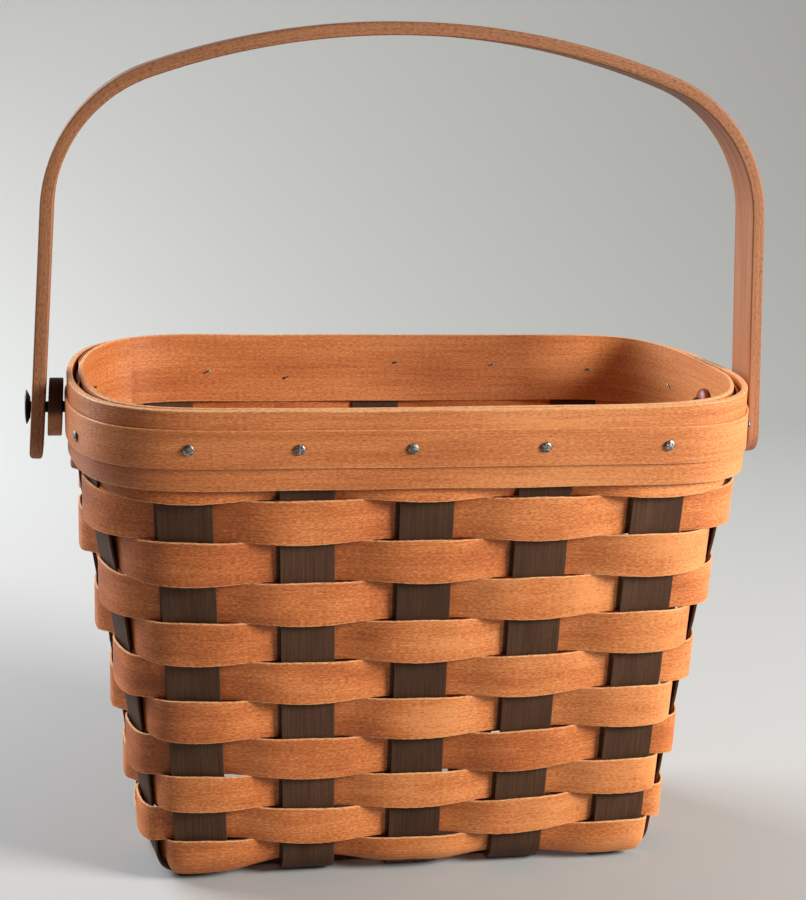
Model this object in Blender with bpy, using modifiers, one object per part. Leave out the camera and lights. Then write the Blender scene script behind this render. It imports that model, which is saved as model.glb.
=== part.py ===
"""A rectangular splint basket with a swing handle.

Dark uprights run up the walls and cross each other in the base, and flat weavers go round
them in plain weave. A band inside and a band outside clamp the top of the weave, a narrow
trim strip covers the outer band, and tacks hold the three together. A bent wooden handle
swings on a pin at each end of the rim.

Metres, +Z up. The origin is at the middle of the base, on the surface the basket stands on.
+X runs along the basket and the handle turns about a line along X.
"""

import math

import bmesh
import bpy
import numpy as np
from mathutils import Matrix, Vector

# Driving dimensions of the woven body, taken at the middle of the wall's thickness
rim_height = 0.245
base_half_length = 0.1265
base_half_depth = 0.0555
shoulder_half_length = 0.1596
rim_half_length = 0.1602
rim_half_depth = 0.0830

# The ends lean out in a slight curve up to the shoulder, where the weave meets the rim's
# bands, and stand nearly upright above it
end_curve_share = 0.30

# Squareness of the outline: the powers of a superellipse along and across the basket
base_length_power = 16.0
base_depth_power = 8.0
shoulder_depth_power = 2.5
rim_length_power = 9.4
rim_depth_power = 2.05

# Clearance between pieces that touch
splint_gap = 0.0003

# Uprights
long_upright_count = 5
cross_upright_count = 3
upright_width = 0.0254
upright_thickness = 0.0013
upright_top_drop = 0.0035
base_bend_radius = 0.0022

# Distance from the outermost uprights' edges to the ends and the sides of the body, and
# how far the long uprights stand to the right of the middle
base_end_margin = 0.0098
rim_end_margin = 0.0351
base_side_margin = 0.0058
rim_side_margin = 0.0293
base_upright_shift = 0.0015
rim_upright_shift = -0.0028

# Weavers: each bows clear of the middle of an upright, and the lower rows are packed a
# little tighter than the upper ones
weaver_thickness = 0.0011
weaver_bow = 0.0013
low_row_count = 3
high_row_count = 9
low_row_share = 0.905
weave_bottom = 0.0027
weave_top_drop = 0.0048
row_gap = 0.0007

# Rim bands and trim strip
outer_band_width = 0.039
inner_band_width = 0.0357
inner_band_drop = 0.0008
outer_band_thickness = 0.0027
inner_band_thickness = 0.0020
trim_width = 0.018
trim_thickness = 0.0014
trim_drop = 0.0102
lap_end_thickness = 0.0004
inner_lap_share = 0.90
outer_lap_share = 0.60
trim_lap_share = 0.925

# Tacks: each one's share is its distance from an upright's middle, over half its width
tack_head_radius = 0.0025
tack_head_height = 0.0011
tack_shank_half = 0.0006
tack_tip_half = 0.00015
tack_tip_reach = 0.0010
tack_front_shares = (0.28, -0.31, -0.68, -0.24, -0.04)
tack_back_shares = (1.63, 0.50, 0.80, 0.80, 0.50)
tack_end_shares = (-0.48, 0.48)

# Swing handle
handle_width = 0.0254
handle_thickness = 0.0062
handle_edge_round = 0.0010
handle_rise = 0.182
handle_lean = math.radians(3.4)
handle_crown_radius = 0.365
handle_shoulder_radius = 0.072
handle_ear_drop = 0.0254
handle_running_gap = 0.0005

# Pivots
pin_radius = 0.003
pin_head_radius = 0.0082
pin_head_height = 0.0025
pin_head_edge = 0.0008
spacer_radius = 0.014
spacer_thickness = 0.007
spacer_edge_round = 0.0006
cap_radius = 0.008
cap_height = 0.006
cap_edge = 0.0012
cap_wall = 0.0016

# Fineness of the curved forms
smooth_angle = math.radians(35)
rounding_noise = 1e-12
slope_step = 0.0005
outline_steps = 1440
corner_stations = 3
side_stations = 1
front_stations = 1
turned_steps = 16
tack_sides = 8
bend_steps = 3
lap_steps = 4
dome_angle = math.radians(30)
shoulder_steps = 8
crown_steps = 6
ear_steps = 4

# Sizes that follow
row_count = low_row_count + high_row_count
weave_height = rim_height - weave_top_drop - weave_bottom
low_row_pitch = low_row_share * weave_height / row_count
high_row_pitch = (weave_height - low_row_count * low_row_pitch) / high_row_count
weave_offset = (upright_thickness + weaver_thickness) / 2 + splint_gap
weave_face = weave_offset + weaver_thickness / 2
outer_band_inner = weave_face + splint_gap
outer_band_outer = outer_band_inner + outer_band_thickness
trim_inner = outer_band_outer + splint_gap
trim_outer = trim_inner + trim_thickness
inner_band_outer = -outer_band_inner
inner_band_inner = inner_band_outer - inner_band_thickness
inner_band_top = rim_height - inner_band_drop
band_bottom = min(rim_height - outer_band_width, inner_band_top - inner_band_width)
low_rows_top = weave_bottom + low_row_count * low_row_pitch
shoulder_row = low_row_count + math.floor((band_bottom - low_rows_top) / high_row_pitch)
shoulder_height = low_rows_top + (shoulder_row - low_row_count) * high_row_pitch
trim_top = rim_height - trim_drop
trim_bottom = trim_top - trim_width
pivot_height = (trim_top + trim_bottom) / 2
base_low_level = upright_thickness / 2
base_high_level = base_low_level + upright_thickness + splint_gap
bore_radius = pin_radius + splint_gap


def new_collection(name):
    """Add a collection to the scene."""
    collection = bpy.data.collections.new(name)
    bpy.context.scene.collection.children.link(collection)
    return collection


def new_material(name, colour, roughness, metallic=0.0):
    """Make a plain Principled material."""
    material = bpy.data.materials.new(name)
    material.use_nodes = True
    shader = material.node_tree.nodes["Principled BSDF"]
    shader.inputs["Base Color"].default_value = (*colour, 1.0)
    shader.inputs["Roughness"].default_value = roughness
    shader.inputs["Metallic"].default_value = metallic
    return material


def add_object(name, mesh, material, collection):
    """Put a mesh in the scene as one named object."""
    if material and not mesh.materials:
        mesh.materials.append(material)
    item = bpy.data.objects.new(name, mesh)
    collection.objects.link(item)
    return item


def mesh_from_bmesh(name, work):
    """Turn a bmesh into a mesh with its faces pointing out."""
    bmesh.ops.recalc_face_normals(work, faces=work.faces)
    mesh = bpy.data.meshes.new(name)
    work.to_mesh(mesh)
    work.free()
    shade(mesh)
    return mesh


def shade(mesh):
    """Shade a mesh smooth, with its true corners left sharp."""
    mesh.shade_smooth()
    mesh.set_sharp_from_angle(angle=smooth_angle)


def loft(name, sections, closed=False):
    """Skin a row of sections that each have the same number of corners.

    A closed loft joins its last section to its first. An open one gets a flat cap at each end.
    Each face is split the same way on both sides of a strip, so its thickness stays even.
    """
    work = bmesh.new()
    rings = [[work.verts.new(point) for point in section] for section in sections]
    corners = len(rings[0])
    pairs = list(zip(rings, rings[1:]))
    if closed:
        pairs.append((rings[-1], rings[0]))
    for ring, following in pairs:
        for corner in range(corners):
            beside = (corner + 1) % corners
            if corner < corners // 2:
                work.faces.new((ring[corner], ring[beside], following[beside]))
                work.faces.new((ring[corner], following[beside], following[corner]))
            else:
                work.faces.new((ring[corner], ring[beside], following[corner]))
                work.faces.new((ring[beside], following[beside], following[corner]))
    if not closed:
        work.faces.new(rings[0])
        work.faces.new(rings[-1])
    return mesh_from_bmesh(name, work)


def turned(name, profile, material, collection):
    """Turn a profile of (radius, height) points, top to bottom, about Z."""
    work = bmesh.new()
    is_ring = profile[0] == profile[-1]
    if is_ring:
        profile = profile[:-1]
    points = [work.verts.new((radius, 0, height)) for radius, height in profile]
    for point, following in zip(points, points[1:]):
        work.edges.new((point, following))
    if is_ring:
        work.edges.new((points[-1], points[0]))
    guide = bpy.data.meshes.new(name)
    work.to_mesh(guide)
    work.free()
    item = add_object(name, guide, material, collection)
    screw = item.modifiers.new("turn", "SCREW")
    screw.steps = turned_steps
    screw.render_steps = turned_steps
    screw.use_merge_vertices = True
    screw.merge_threshold = 0.0001
    turned_item = item.evaluated_get(bpy.context.evaluated_depsgraph_get())
    mesh = bpy.data.meshes.new_from_object(turned_item)
    item.modifiers.remove(screw)
    item.data = mesh
    bpy.data.meshes.remove(guide)
    shade(mesh)
    return item


def cut(item, cutter):
    """Cut one object's shape out of another."""
    boolean = item.modifiers.new("cut", "BOOLEAN")
    boolean.operation = "DIFFERENCE"
    boolean.solver = "EXACT"
    boolean.object = cutter


def mixed(base_value, rim_value, height):
    """Size part of the way from the base's value to the rim's, by height."""
    return base_value + (rim_value - base_value) * height / rim_height


def above_shoulder(shoulder_value, rim_value, height):
    """Size part of the way from the shoulder's value to the rim's, by height."""
    share = (height - shoulder_height) / (rim_height - shoulder_height)
    return shoulder_value + (rim_value - shoulder_value) * share


def half_length_at(height):
    """Half length of the outline at a height."""
    if height > shoulder_height:
        return above_shoulder(shoulder_half_length, rim_half_length, height)
    climbed = height / shoulder_height
    grown = climbed * (1 - end_curve_share * (1 - climbed))
    return base_half_length + (shoulder_half_length - base_half_length) * grown


def depth_power_at(height):
    """Squareness of the outline's ends at a height. It holds still just below the shoulder."""
    if height > shoulder_height:
        return 1 / above_shoulder(1 / shoulder_depth_power, 1 / rim_depth_power, height)
    return max(1 / mixed(1 / base_depth_power, 1 / rim_depth_power, height), shoulder_depth_power)


class Outline:
    """The middle line of the wall at one height.

    |x / half_length| ** length_power + |y / half_depth| ** depth_power = 1, walked
    anticlockwise from the left end, with its outward normal and its length so far.
    """

    def __init__(self, height):
        half_length = half_length_at(height)
        half_depth = mixed(base_half_depth, rim_half_depth, height)
        length_power = 1 / mixed(1 / base_length_power, 1 / rim_length_power, height)
        depth_power = depth_power_at(height)
        angle = np.linspace(-math.pi, math.pi, outline_steps + 1)
        along = np.cos(angle)
        across = np.sin(angle)
        along[np.abs(along) < rounding_noise] = 0
        across[np.abs(across) < rounding_noise] = 0
        share_x = np.sign(along) * np.abs(along) ** (2 / length_power)
        share_y = np.sign(across) * np.abs(across) ** (2 / depth_power)
        slope_x = np.sign(share_x) * length_power / half_length * np.abs(share_x) ** (length_power - 1)
        slope_y = np.sign(share_y) * depth_power / half_depth * np.abs(share_y) ** (depth_power - 1)
        size = np.hypot(slope_x, slope_y)
        self.height = height
        self.x = share_x * half_length
        self.y = share_y * half_depth
        self.normal_x = slope_x / size
        self.normal_y = slope_y / size
        steps = np.hypot(np.diff(self.x), np.diff(self.y))
        self.length = np.concatenate(([0.0], np.cumsum(steps)))
        self.perimeter = self.length[-1]

    def arc_at_x(self, x, front):
        """Length along the outline where the front or the back wall has this x."""
        half = outline_steps // 2
        if front:
            return float(np.interp(x, self.x[: half + 1], self.length[: half + 1]))
        return float(np.interp(x, self.x[half:][::-1], self.length[half:][::-1]))

    def arc_at_y(self, y, right):
        """Length along the outline where the right or the left end has this y."""
        quarter = outline_steps // 4
        if right:
            reach = slice(quarter, 3 * quarter + 1)
            return float(np.interp(y, self.y[reach], self.length[reach]))
        if y < 0:
            return float(np.interp(-y, -self.y[: quarter + 1], self.length[: quarter + 1]))
        reach = slice(3 * quarter, None)
        return float(np.interp(-y, -self.y[reach], self.length[reach]))

    def point(self, arc, outwards):
        """Point at a length along the outline, pushed outwards from the middle line."""
        arc = arc % self.perimeter
        x = np.interp(arc, self.length, self.x)
        y = np.interp(arc, self.length, self.y)
        normal = self.normal(arc)
        return Vector((x, y, self.height)) + normal * outwards

    def normal(self, arc):
        """Level outward direction at a length along the outline."""
        arc = arc % self.perimeter
        x = np.interp(arc, self.length, self.normal_x)
        y = np.interp(arc, self.length, self.normal_y)
        return Vector((x, y, 0)).normalized()


outlines = {}


def outline_at(height):
    """The outline at a height, worked out once."""
    if height not in outlines:
        outlines[height] = Outline(height)
    return outlines[height]


def spread(count, half_size, margin):
    """Places of equal strips between two margins, from one side to the other."""
    reach = half_size - margin - upright_width / 2
    return [reach * (2 * place / (count - 1) - 1) for place in range(count)]


def long_places(height):
    """x of the long uprights at a height."""
    half = mixed(base_half_length, rim_half_length, height)
    shift = mixed(base_upright_shift, rim_upright_shift, height)
    places = spread(long_upright_count, half, mixed(base_end_margin, rim_end_margin, height))
    return [place + shift for place in places]


def cross_places(height):
    """y of the cross uprights at a height."""
    half = mixed(base_half_depth, rim_half_depth, height)
    return spread(cross_upright_count, half, mixed(base_side_margin, rim_side_margin, height))


def stake_arcs(height):
    """Where each upright crosses the outline, in order from the left end's front corner."""
    outline = outline_at(height)
    along = long_places(height)
    across = cross_places(height)
    middle = cross_upright_count // 2
    arcs = [outline.arc_at_y(y, False) for y in across[:middle][::-1]]
    arcs += [outline.arc_at_x(x, True) for x in along]
    arcs += [outline.arc_at_y(y, True) for y in across]
    arcs += [outline.arc_at_x(x, False) for x in along[::-1]]
    arcs += [outline.arc_at_y(y, False) for y in across[middle:][::-1]]
    arcs[-1] = outline.perimeter
    return arcs


stake_count = 2 * (long_upright_count + cross_upright_count)
first_long_stake = cross_upright_count // 2
first_right_stake = first_long_stake + long_upright_count
first_back_stake = first_right_stake + cross_upright_count
first_left_stake = first_back_stake + long_upright_count
corner_gaps = tuple(
    (start - 1) % stake_count
    for start in (first_long_stake, first_right_stake, first_back_stake, first_left_stake)
)


def on_long_wall(stake):
    """Whether an upright stands in the front or the back wall."""
    in_front = first_long_stake <= stake < first_right_stake
    at_back = first_back_stake <= stake < first_left_stake
    return in_front or at_back


def ring_stations(height):
    """Stations round the weave, as (length along the outline, dip, swing, bow).

    The dip is how far a flat upright's middle lies inside the outline. The swing is 1 where
    a weaver lies outside an upright, -1 where it lies inside, and a cosine between. The bow
    is 1 or -1 at an upright's middle and nothing at its edges.
    """
    arcs = stake_arcs(height)
    outline = outline_at(height)
    perimeter = outline.perimeter
    reach = upright_width / 2
    stations = []
    for stake, arc in enumerate(arcs):
        side = -1 if stake % 2 == 0 else 1
        chord_middle = (outline.point(arc - reach, 0) + outline.point(arc + reach, 0)) / 2
        dip = (outline.point(arc, 0) - chord_middle).length
        stations.append((arc - reach, 0, side, 0))
        stations.append((arc, dip, side, side))
        stations.append((arc + reach, 0, side, 0))
        following = arcs[(stake + 1) % stake_count]
        if following < arc:
            following += perimeter
        if stake in corner_gaps:
            steps = corner_stations
        elif on_long_wall(stake):
            steps = front_stations
        else:
            steps = side_stations
        start = arc + reach
        span = following - reach - start
        for step in range(1, steps + 1):
            share = step / (steps + 1)
            stations.append((start + span * share, 0, side * math.cos(math.pi * share), 0))
    return stations


station_tables = {}


def stations_at(height):
    """The stations at a height, worked out once."""
    if height not in station_tables:
        station_tables[height] = ring_stations(height)
    return station_tables[height]


def strip_section(bottom, top, station, shift, inner, outer):
    """Four corners of a flat strip that stands in the wall, at one station."""
    corners = []
    for height, outwards in ((bottom, inner), (bottom, outer), (top, outer), (top, inner)):
        table = stations_at(height)
        arc, dip, _, _ = table[station % len(table)]
        corners.append(outline_at(height).point(arc + shift, outwards - dip))
    return corners


def row_bottom(row):
    """Height where a row's share of the wall begins."""
    low = min(row, low_row_count)
    return weave_bottom + low * low_row_pitch + (row - low) * high_row_pitch


def weaver_mesh(row):
    """One closed weaver that passes outside every second upright."""
    bottom = row_bottom(row)
    top = row_bottom(row + 1) - row_gap
    row_side = 1 if row % 2 == 0 else -1
    row_bow = weaver_bow if top < band_bottom else 0
    sections = []
    for station, (_, _, swing, bow) in enumerate(stations_at(bottom)):
        middle = row_side * (weave_offset * swing + row_bow * bow)
        inner = middle - weaver_thickness / 2
        outer = middle + weaver_thickness / 2
        sections.append(strip_section(bottom, top, station, 0, inner, outer))
    return loft("weaver", sections, closed=True)


def station_past(share):
    """First station that is a share of the way round the rim."""
    perimeter = outline_at(band_bottom).perimeter
    arcs = [entry[0] for entry in stations_at(band_bottom)]
    return next(station for station, arc in enumerate(arcs) if arc >= share * perimeter)


def band_mesh(bottom, top, inner, outer, lap_station):
    """A band bent once round the rim, with tapered ends that lap over each other.

    The first end lies inside and thickens along the lap, and the last end lies on it and
    thins out. Past each end the band is at its full thickness again.
    """
    count = len(stations_at(bottom))
    rise = (outer - inner - 2 * lap_end_thickness - splint_gap) / lap_steps
    sections = []
    for step in range(lap_steps + 1):
        face = inner + lap_end_thickness + rise * step
        sections.append(strip_section(bottom, top, lap_station + step, 0, inner, face))
    last = lap_station + lap_steps
    sections.append(strip_section(bottom, top, last, splint_gap, inner, outer))
    for station in range(last + 1, lap_station + count):
        sections.append(strip_section(bottom, top, station, 0, inner, outer))
    sections.append(strip_section(bottom, top, lap_station, -splint_gap, inner, outer))
    for step in range(lap_steps + 1):
        face = inner + lap_end_thickness + splint_gap + rise * step
        sections.append(strip_section(bottom, top, lap_station + step, 0, face, outer))
    return loft("band", sections)


def wall_heights():
    """Heights at which an upright's wall stretch has a section, from the top down.

    There is one for every second row of the weave, and for every row above the shoulder.
    """
    heights = [rim_height - upright_top_drop]
    rows = [row for row in range(row_count, 0, -1) if row >= shoulder_row or (row_count - row) % 2 == 0]
    heights += [row_bottom(row) for row in rows]
    heights.append(base_low_level + base_bend_radius)
    return heights


def base_levels(places, first_is_high, start, end):
    """Path of an upright along the base as (place, level), from one bend to the other.

    It passes over and under the crossing uprights in turn, level across each of them.
    """
    reach = upright_width / 2
    path = [(start, base_low_level)]
    high = first_is_high
    for place in places:
        level = base_high_level if high else base_low_level
        path.append((place - reach, level))
        path.append((place + reach, level))
        high = not high
    path.append((end, base_low_level))
    return path


def upright_mesh(stake, opposite, along_y, first_is_high):
    """One upright: down a wall, along the base and up the opposite wall."""
    heights = wall_heights()

    def wall_section(end, height, turn):
        """Section on one wall at a height, turned under the base by an angle."""
        outline = outline_at(height)
        middle = stake_arcs(height)[end]
        side = 1 if end == stake else -1
        inner_points = []
        outer_points = []
        for share in (-1, 1):
            arc = middle + side * share * upright_width / 2
            normal = outline.normal(arc)
            hub = outline.point(arc, -base_bend_radius)
            outwards = normal * math.cos(turn) - Vector((0, 0, math.sin(turn)))
            inner_points.append(hub + outwards * (base_bend_radius - upright_thickness / 2))
            outer_points.append(hub + outwards * (base_bend_radius + upright_thickness / 2))
        return inner_points + outer_points[::-1]

    bends = [math.pi / 2 * step / bend_steps for step in range(1, bend_steps + 1)]
    down = [wall_section(stake, height, 0) for height in heights]
    down += [wall_section(stake, heights[-1], turn) for turn in bends]
    up = [wall_section(opposite, heights[-1], turn) for turn in bends[::-1]]
    up += [wall_section(opposite, height, 0) for height in heights[::-1]]

    places = cross_places(0) if along_y else long_places(0)
    axis = 1 if along_y else 0
    start = np.array([tuple(point) for point in down[-1]])
    end = np.array([tuple(point) for point in up[0]])
    path = base_levels(places, first_is_high, start[0][axis], end[0][axis])
    base = []
    for place, level in path[1:-1]:
        share = (place - start[:, axis]) / (end[:, axis] - start[:, axis])
        points = start + (end - start) * share[:, None]
        points[:, 2] += level - base_low_level
        base.append([Vector(point) for point in points])
    return loft("upright", down + base + up)


def wall_frame(arc_of, height):
    """Place on the wall's middle surface and its outward axis, square to the slope."""
    outline = outline_at(height)
    arc = arc_of(outline)
    point = outline.point(arc, 0)
    above = outline_at(height + slope_step)
    lifted = above.point(arc_of(above), 0)
    normal = outline.normal(arc)
    up = (lifted - point).normalized()
    sideways = up.cross(normal).normalized()
    return point, sideways.cross(up).normalized()


def tack_places():
    """Name, place and outward axis of every tack."""
    tacks = []
    half_width = upright_width / 2
    across = long_places(pivot_height)
    for wall, shares in (("front", tack_front_shares), ("back", tack_back_shares)):
        for number, (middle, share) in enumerate(zip(across, shares), 1):
            x = middle + share * half_width
            frame = wall_frame(lambda line: line.arc_at_x(x, wall == "front"), pivot_height)
            tacks.append((f"tack_{wall}_{number}", *frame))
    outermost = cross_places(pivot_height)[:: cross_upright_count - 1]
    for end in ("left", "right"):
        for number, (middle, share) in enumerate(zip(outermost, tack_end_shares), 1):
            y = middle + share * half_width
            frame = wall_frame(lambda line: line.arc_at_y(y, end == "right"), pivot_height)
            tacks.append((f"tack_{end}_{number}", *frame))
    return tacks


def square_ring(half, height):
    """Corners and edge middles of a square, in the order of an eight-sided ring."""
    reach = (1, 1, 0, -1, -1, -1, 0, 1)
    return [(half * reach[k], half * reach[(k - 2) % tack_sides], height) for k in range(tack_sides)]


def round_ring(radius, height):
    """Corners of a round ring with one corner on +X."""
    angles = [2 * math.pi * k / tack_sides for k in range(tack_sides)]
    return [(radius * math.cos(angle), radius * math.sin(angle), height) for angle in angles]


def tack_mesh():
    """A tack with a domed head and a square, tapered shank, pointing down -Z."""
    seat = trim_outer + splint_gap
    tip = inner_band_inner - tack_tip_reach
    sections = [
        round_ring(tack_head_radius / 2, seat + tack_head_height),
        round_ring(tack_head_radius, seat + tack_head_height / 2),
        round_ring(tack_head_radius, seat),
        square_ring(tack_shank_half, seat),
        square_ring(tack_shank_half, inner_band_inner),
        square_ring(tack_tip_half, tip),
    ]
    return loft("tack", sections)


def tack_hole_mesh(tacks):
    """Square holes for all the shanks, as one cutter."""
    work = bmesh.new()
    half = tack_shank_half + splint_gap
    top = trim_outer + tack_head_height
    bottom = inner_band_inner - tack_tip_reach
    for _, place, outwards in tacks:
        scale = Matrix.Diagonal((2 * half, 2 * half, top - bottom, 1))
        shift = Matrix.Translation((0, 0, (top + bottom) / 2))
        bmesh.ops.create_cube(work, size=1, matrix=axis_matrix(place, outwards) @ shift @ scale)
    return mesh_from_bmesh("tack_holes", work)


def axis_matrix(place, axis):
    """Matrix that puts Z along an axis, with Y as near upright as it can be."""
    third = Vector(axis).normalized()
    first = Vector((0, 0, 1)).cross(third).normalized()
    second = third.cross(first)
    turn = Matrix((first, second, third)).transposed().to_4x4()
    return Matrix.Translation(place) @ turn


def handle_path():
    """Stations of the right half of the handle, from the ear's end to the crown.

    The arm is a straight line that leans in, the crown is a wide arc about the middle, and
    a shoulder arc touches both. Each station is (x, z, inward x, inward z).
    """
    rise_x = -math.sin(handle_lean)
    rise_z = math.cos(handle_lean)
    inward_x = -rise_z
    inward_z = rise_x
    crown_z = pivot_height + handle_rise - handle_crown_radius
    hub_x = handle_half_span + inward_x * handle_shoulder_radius
    hub_z = pivot_height + inward_z * handle_shoulder_radius - crown_z
    reach = handle_crown_radius - handle_shoulder_radius
    along = hub_x * rise_x + hub_z * rise_z
    climb = -along + math.sqrt(along**2 - hub_x**2 - hub_z**2 + reach**2)
    hub_x += rise_x * climb
    hub_z += rise_z * climb
    stations = []
    for step in range(ear_steps):
        drop = handle_ear_drop - handle_width / 2 * (1 - math.cos(math.pi / 2 * step / ear_steps))
        stations.append((handle_half_span - rise_x * drop, pivot_height - rise_z * drop, inward_x, inward_z))
    drop = handle_ear_drop - handle_width / 2
    stations.append((handle_half_span - rise_x * drop, pivot_height - rise_z * drop, inward_x, inward_z))
    start = handle_lean
    finish = math.atan2(hub_z, hub_x)
    for step in range(shoulder_steps + 1):
        angle = start + (finish - start) * step / shoulder_steps
        x = hub_x + handle_shoulder_radius * math.cos(angle)
        z = hub_z + crown_z + handle_shoulder_radius * math.sin(angle)
        stations.append((x, z, -math.cos(angle), -math.sin(angle)))
    for step in range(1, crown_steps + 1):
        angle = finish + (math.pi / 2 - finish) * step / crown_steps
        x = handle_crown_radius * math.cos(angle)
        z = crown_z + handle_crown_radius * math.sin(angle)
        stations.append((x, z, -math.cos(angle), -math.sin(angle)))
    return stations


def handle_section(x, z, inward_x, inward_z, half_width, half_thickness):
    """Eight corners of the handle's section: a flat strip with its edges eased."""
    ease = min(handle_edge_round, half_width / 2, half_thickness / 2)
    outline = []
    for across, out in ((1, 1), (-1, 1), (-1, -1), (1, -1)):
        steps = ((half_width, half_thickness - ease), (half_width - ease, half_thickness))
        if across * out < 0:
            steps = steps[::-1]
        for wide, thick in steps:
            outline.append((across * wide, out * thick))
    points = []
    for wide, thick in outline:
        points.append((x - inward_x * thick, wide, z - inward_z * thick))
    return points


def handle_mesh():
    """The bent handle: both arms, the shoulders and the crown in one strip."""
    stations = handle_path()
    right = []
    for number, (x, z, inward_x, inward_z) in enumerate(stations):
        turn = math.pi / 2 * min(number, ear_steps) / ear_steps
        half_width = handle_width / 2 * max(math.sin(turn), handle_edge_round / handle_width)
        half_thickness = handle_thickness / 2
        if number == 0:
            half_thickness -= handle_edge_round
        right.append(handle_section(x, z, inward_x, inward_z, half_width, half_thickness))
    left = [[(-x, y, z) for x, y, z in section] for section in right[:-1]]
    return loft("handle", right + left[::-1])


def clear_scene():
    """Remove every object that the scene starts with."""
    for item in list(bpy.data.objects):
        bpy.data.objects.remove(item, do_unlink=True)


def end_x(height, outwards):
    """x of the right end of the outline at a height, pushed outwards."""
    return half_length_at(height) + outwards


# Places along the pivot's axis, from the basket outwards
spacer_top = pivot_height + spacer_radius
trim_end = end_x(trim_top, trim_outer)
band_end = end_x(min(spacer_top, rim_height), outer_band_outer)
spacer_inner = max(trim_end, band_end) + splint_gap
spacer_outer = spacer_inner + spacer_thickness
handle_half_level = handle_thickness / 2 / math.cos(handle_lean)
lean_over_spacer = spacer_radius * math.tan(handle_lean)
lean_under_head = pin_head_radius * math.tan(handle_lean)
handle_half_span = spacer_outer + lean_over_spacer + handle_running_gap + handle_half_level
pin_head_inner = handle_half_span + handle_half_level + lean_under_head + splint_gap
cap_face = end_x(pivot_height - cap_radius, inner_band_inner) - splint_gap
pin_end = cap_face - cap_height + cap_wall

clear_scene()
parts = new_collection("splint_basket")
cutters = new_collection("cutters")

weaver_wood = new_material("weaver_splint", (0.52, 0.23, 0.085), 0.55)
upright_wood = new_material("upright_splint", (0.060, 0.036, 0.027), 0.60)
rim_wood = new_material("rim_hardwood", (0.50, 0.22, 0.085), 0.50)
handle_wood = new_material("handle_hardwood", (0.47, 0.20, 0.080), 0.45)
tack_steel = new_material("tack_steel", (0.30, 0.30, 0.30), 0.40, 1.0)
pin_metal = new_material("pin_metal", (0.035, 0.030, 0.028), 0.40, 0.6)
spacer_wood = new_material("spacer_hardwood", (0.16, 0.065, 0.028), 0.50)
cap_wood = new_material("cap_red_wood", (0.30, 0.055, 0.030), 0.35)

# Cutters: one bore along the pivot's axis, and a hole for every tack
tacks = tack_places()
tack_holes = add_object("tack_holes", tack_hole_mesh(tacks), None, cutters)
bore = bmesh.new()
bmesh.ops.create_cone(
    bore,
    cap_ends=True,
    segments=turned_steps,
    radius1=bore_radius,
    radius2=bore_radius,
    depth=2 * (pin_head_inner + pin_head_height),
    matrix=axis_matrix(Vector((0, 0, pivot_height)), Vector((1, 0, 0))),
)
pivot_bore = add_object("pivot_bore", mesh_from_bmesh("pivot_bore", bore), None, cutters)
for cutter in (tack_holes, pivot_bore):
    cutter.hide_render = True
    cutter.display_type = "WIRE"

# Uprights, from left to right and from front to back
for number in range(long_upright_count):
    stake = first_long_stake + number
    opposite = first_left_stake - 1 - number
    mesh = upright_mesh(stake, opposite, True, number % 2 == 1)
    upright = add_object(f"long_upright_{number + 1}", mesh, upright_wood, parts)
    cut(upright, tack_holes)
for number in range(cross_upright_count):
    stake = (first_long_stake - 1 - number) % stake_count
    opposite = first_right_stake + number
    mesh = upright_mesh(stake, opposite, False, number % 2 == 0)
    upright = add_object(f"cross_upright_{number + 1}", mesh, upright_wood, parts)
    if number == cross_upright_count // 2:
        cut(upright, pivot_bore)
    else:
        cut(upright, tack_holes)

# Weavers, from the base up: the tacks and pins pass through the topmost
for row in range(row_count):
    weaver = add_object(f"weaver_row_{row + 1:02d}", weaver_mesh(row), weaver_wood, parts)
    if row_bottom(row + 1) > trim_bottom:
        cut(weaver, tack_holes)
        cut(weaver, pivot_bore)

# Rim: each band laps at another place
rim_pieces = (
    ("rim_inner_band", inner_band_top, inner_band_width, inner_band_inner, inner_band_outer, inner_lap_share),
    ("rim_outer_band", rim_height, outer_band_width, outer_band_inner, outer_band_outer, outer_lap_share),
    ("rim_trim_strip", trim_top, trim_width, trim_inner, trim_outer, trim_lap_share),
)
for name, top, width, inner, outer, lap_share in rim_pieces:
    bottom = top - width
    mesh = band_mesh(bottom, top, inner, outer, station_past(lap_share))
    band = add_object(name, mesh, rim_wood, parts)
    cut(band, tack_holes)
    cut(band, pivot_bore)

# Tacks
shared_tack = tack_mesh()
for name, place, outwards in tacks:
    tack = add_object(name, shared_tack, tack_steel, parts)
    tack.matrix_world = axis_matrix(place, outwards)

# Pivots: a spacer outside the rim, a pin through everything and a domed cap inside
spacer_profile = (
    (bore_radius, spacer_thickness),
    (spacer_radius - spacer_edge_round, spacer_thickness),
    (spacer_radius, spacer_thickness - spacer_edge_round),
    (spacer_radius, spacer_edge_round),
    (spacer_radius - spacer_edge_round, 0),
    (bore_radius, 0),
    (bore_radius, spacer_thickness),
)
pin_dome = pin_head_height - pin_head_edge
pin_brow = pin_head_inner + pin_head_edge + pin_dome * math.cos(dome_angle)
pin_profile = (
    (0, pin_head_inner + pin_head_height),
    (pin_head_radius * math.sin(dome_angle), pin_brow),
    (pin_head_radius, pin_head_inner + pin_head_edge),
    (pin_head_radius, pin_head_inner),
    (pin_radius, pin_head_inner),
    (pin_radius, pin_end),
    (0, pin_end),
)
cap_dome = cap_height - cap_edge
cap_rim = cap_face - cap_edge
cap_profile = (
    (0, pin_end - splint_gap),
    (bore_radius, pin_end - splint_gap),
    (bore_radius, cap_face),
    (cap_radius, cap_face),
    (cap_radius, cap_rim),
    (cap_radius * math.cos(dome_angle), cap_rim - cap_dome * math.sin(dome_angle)),
    (cap_radius * math.sin(dome_angle), cap_rim - cap_dome * math.cos(dome_angle)),
    (0, cap_face - cap_height),
)
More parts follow.
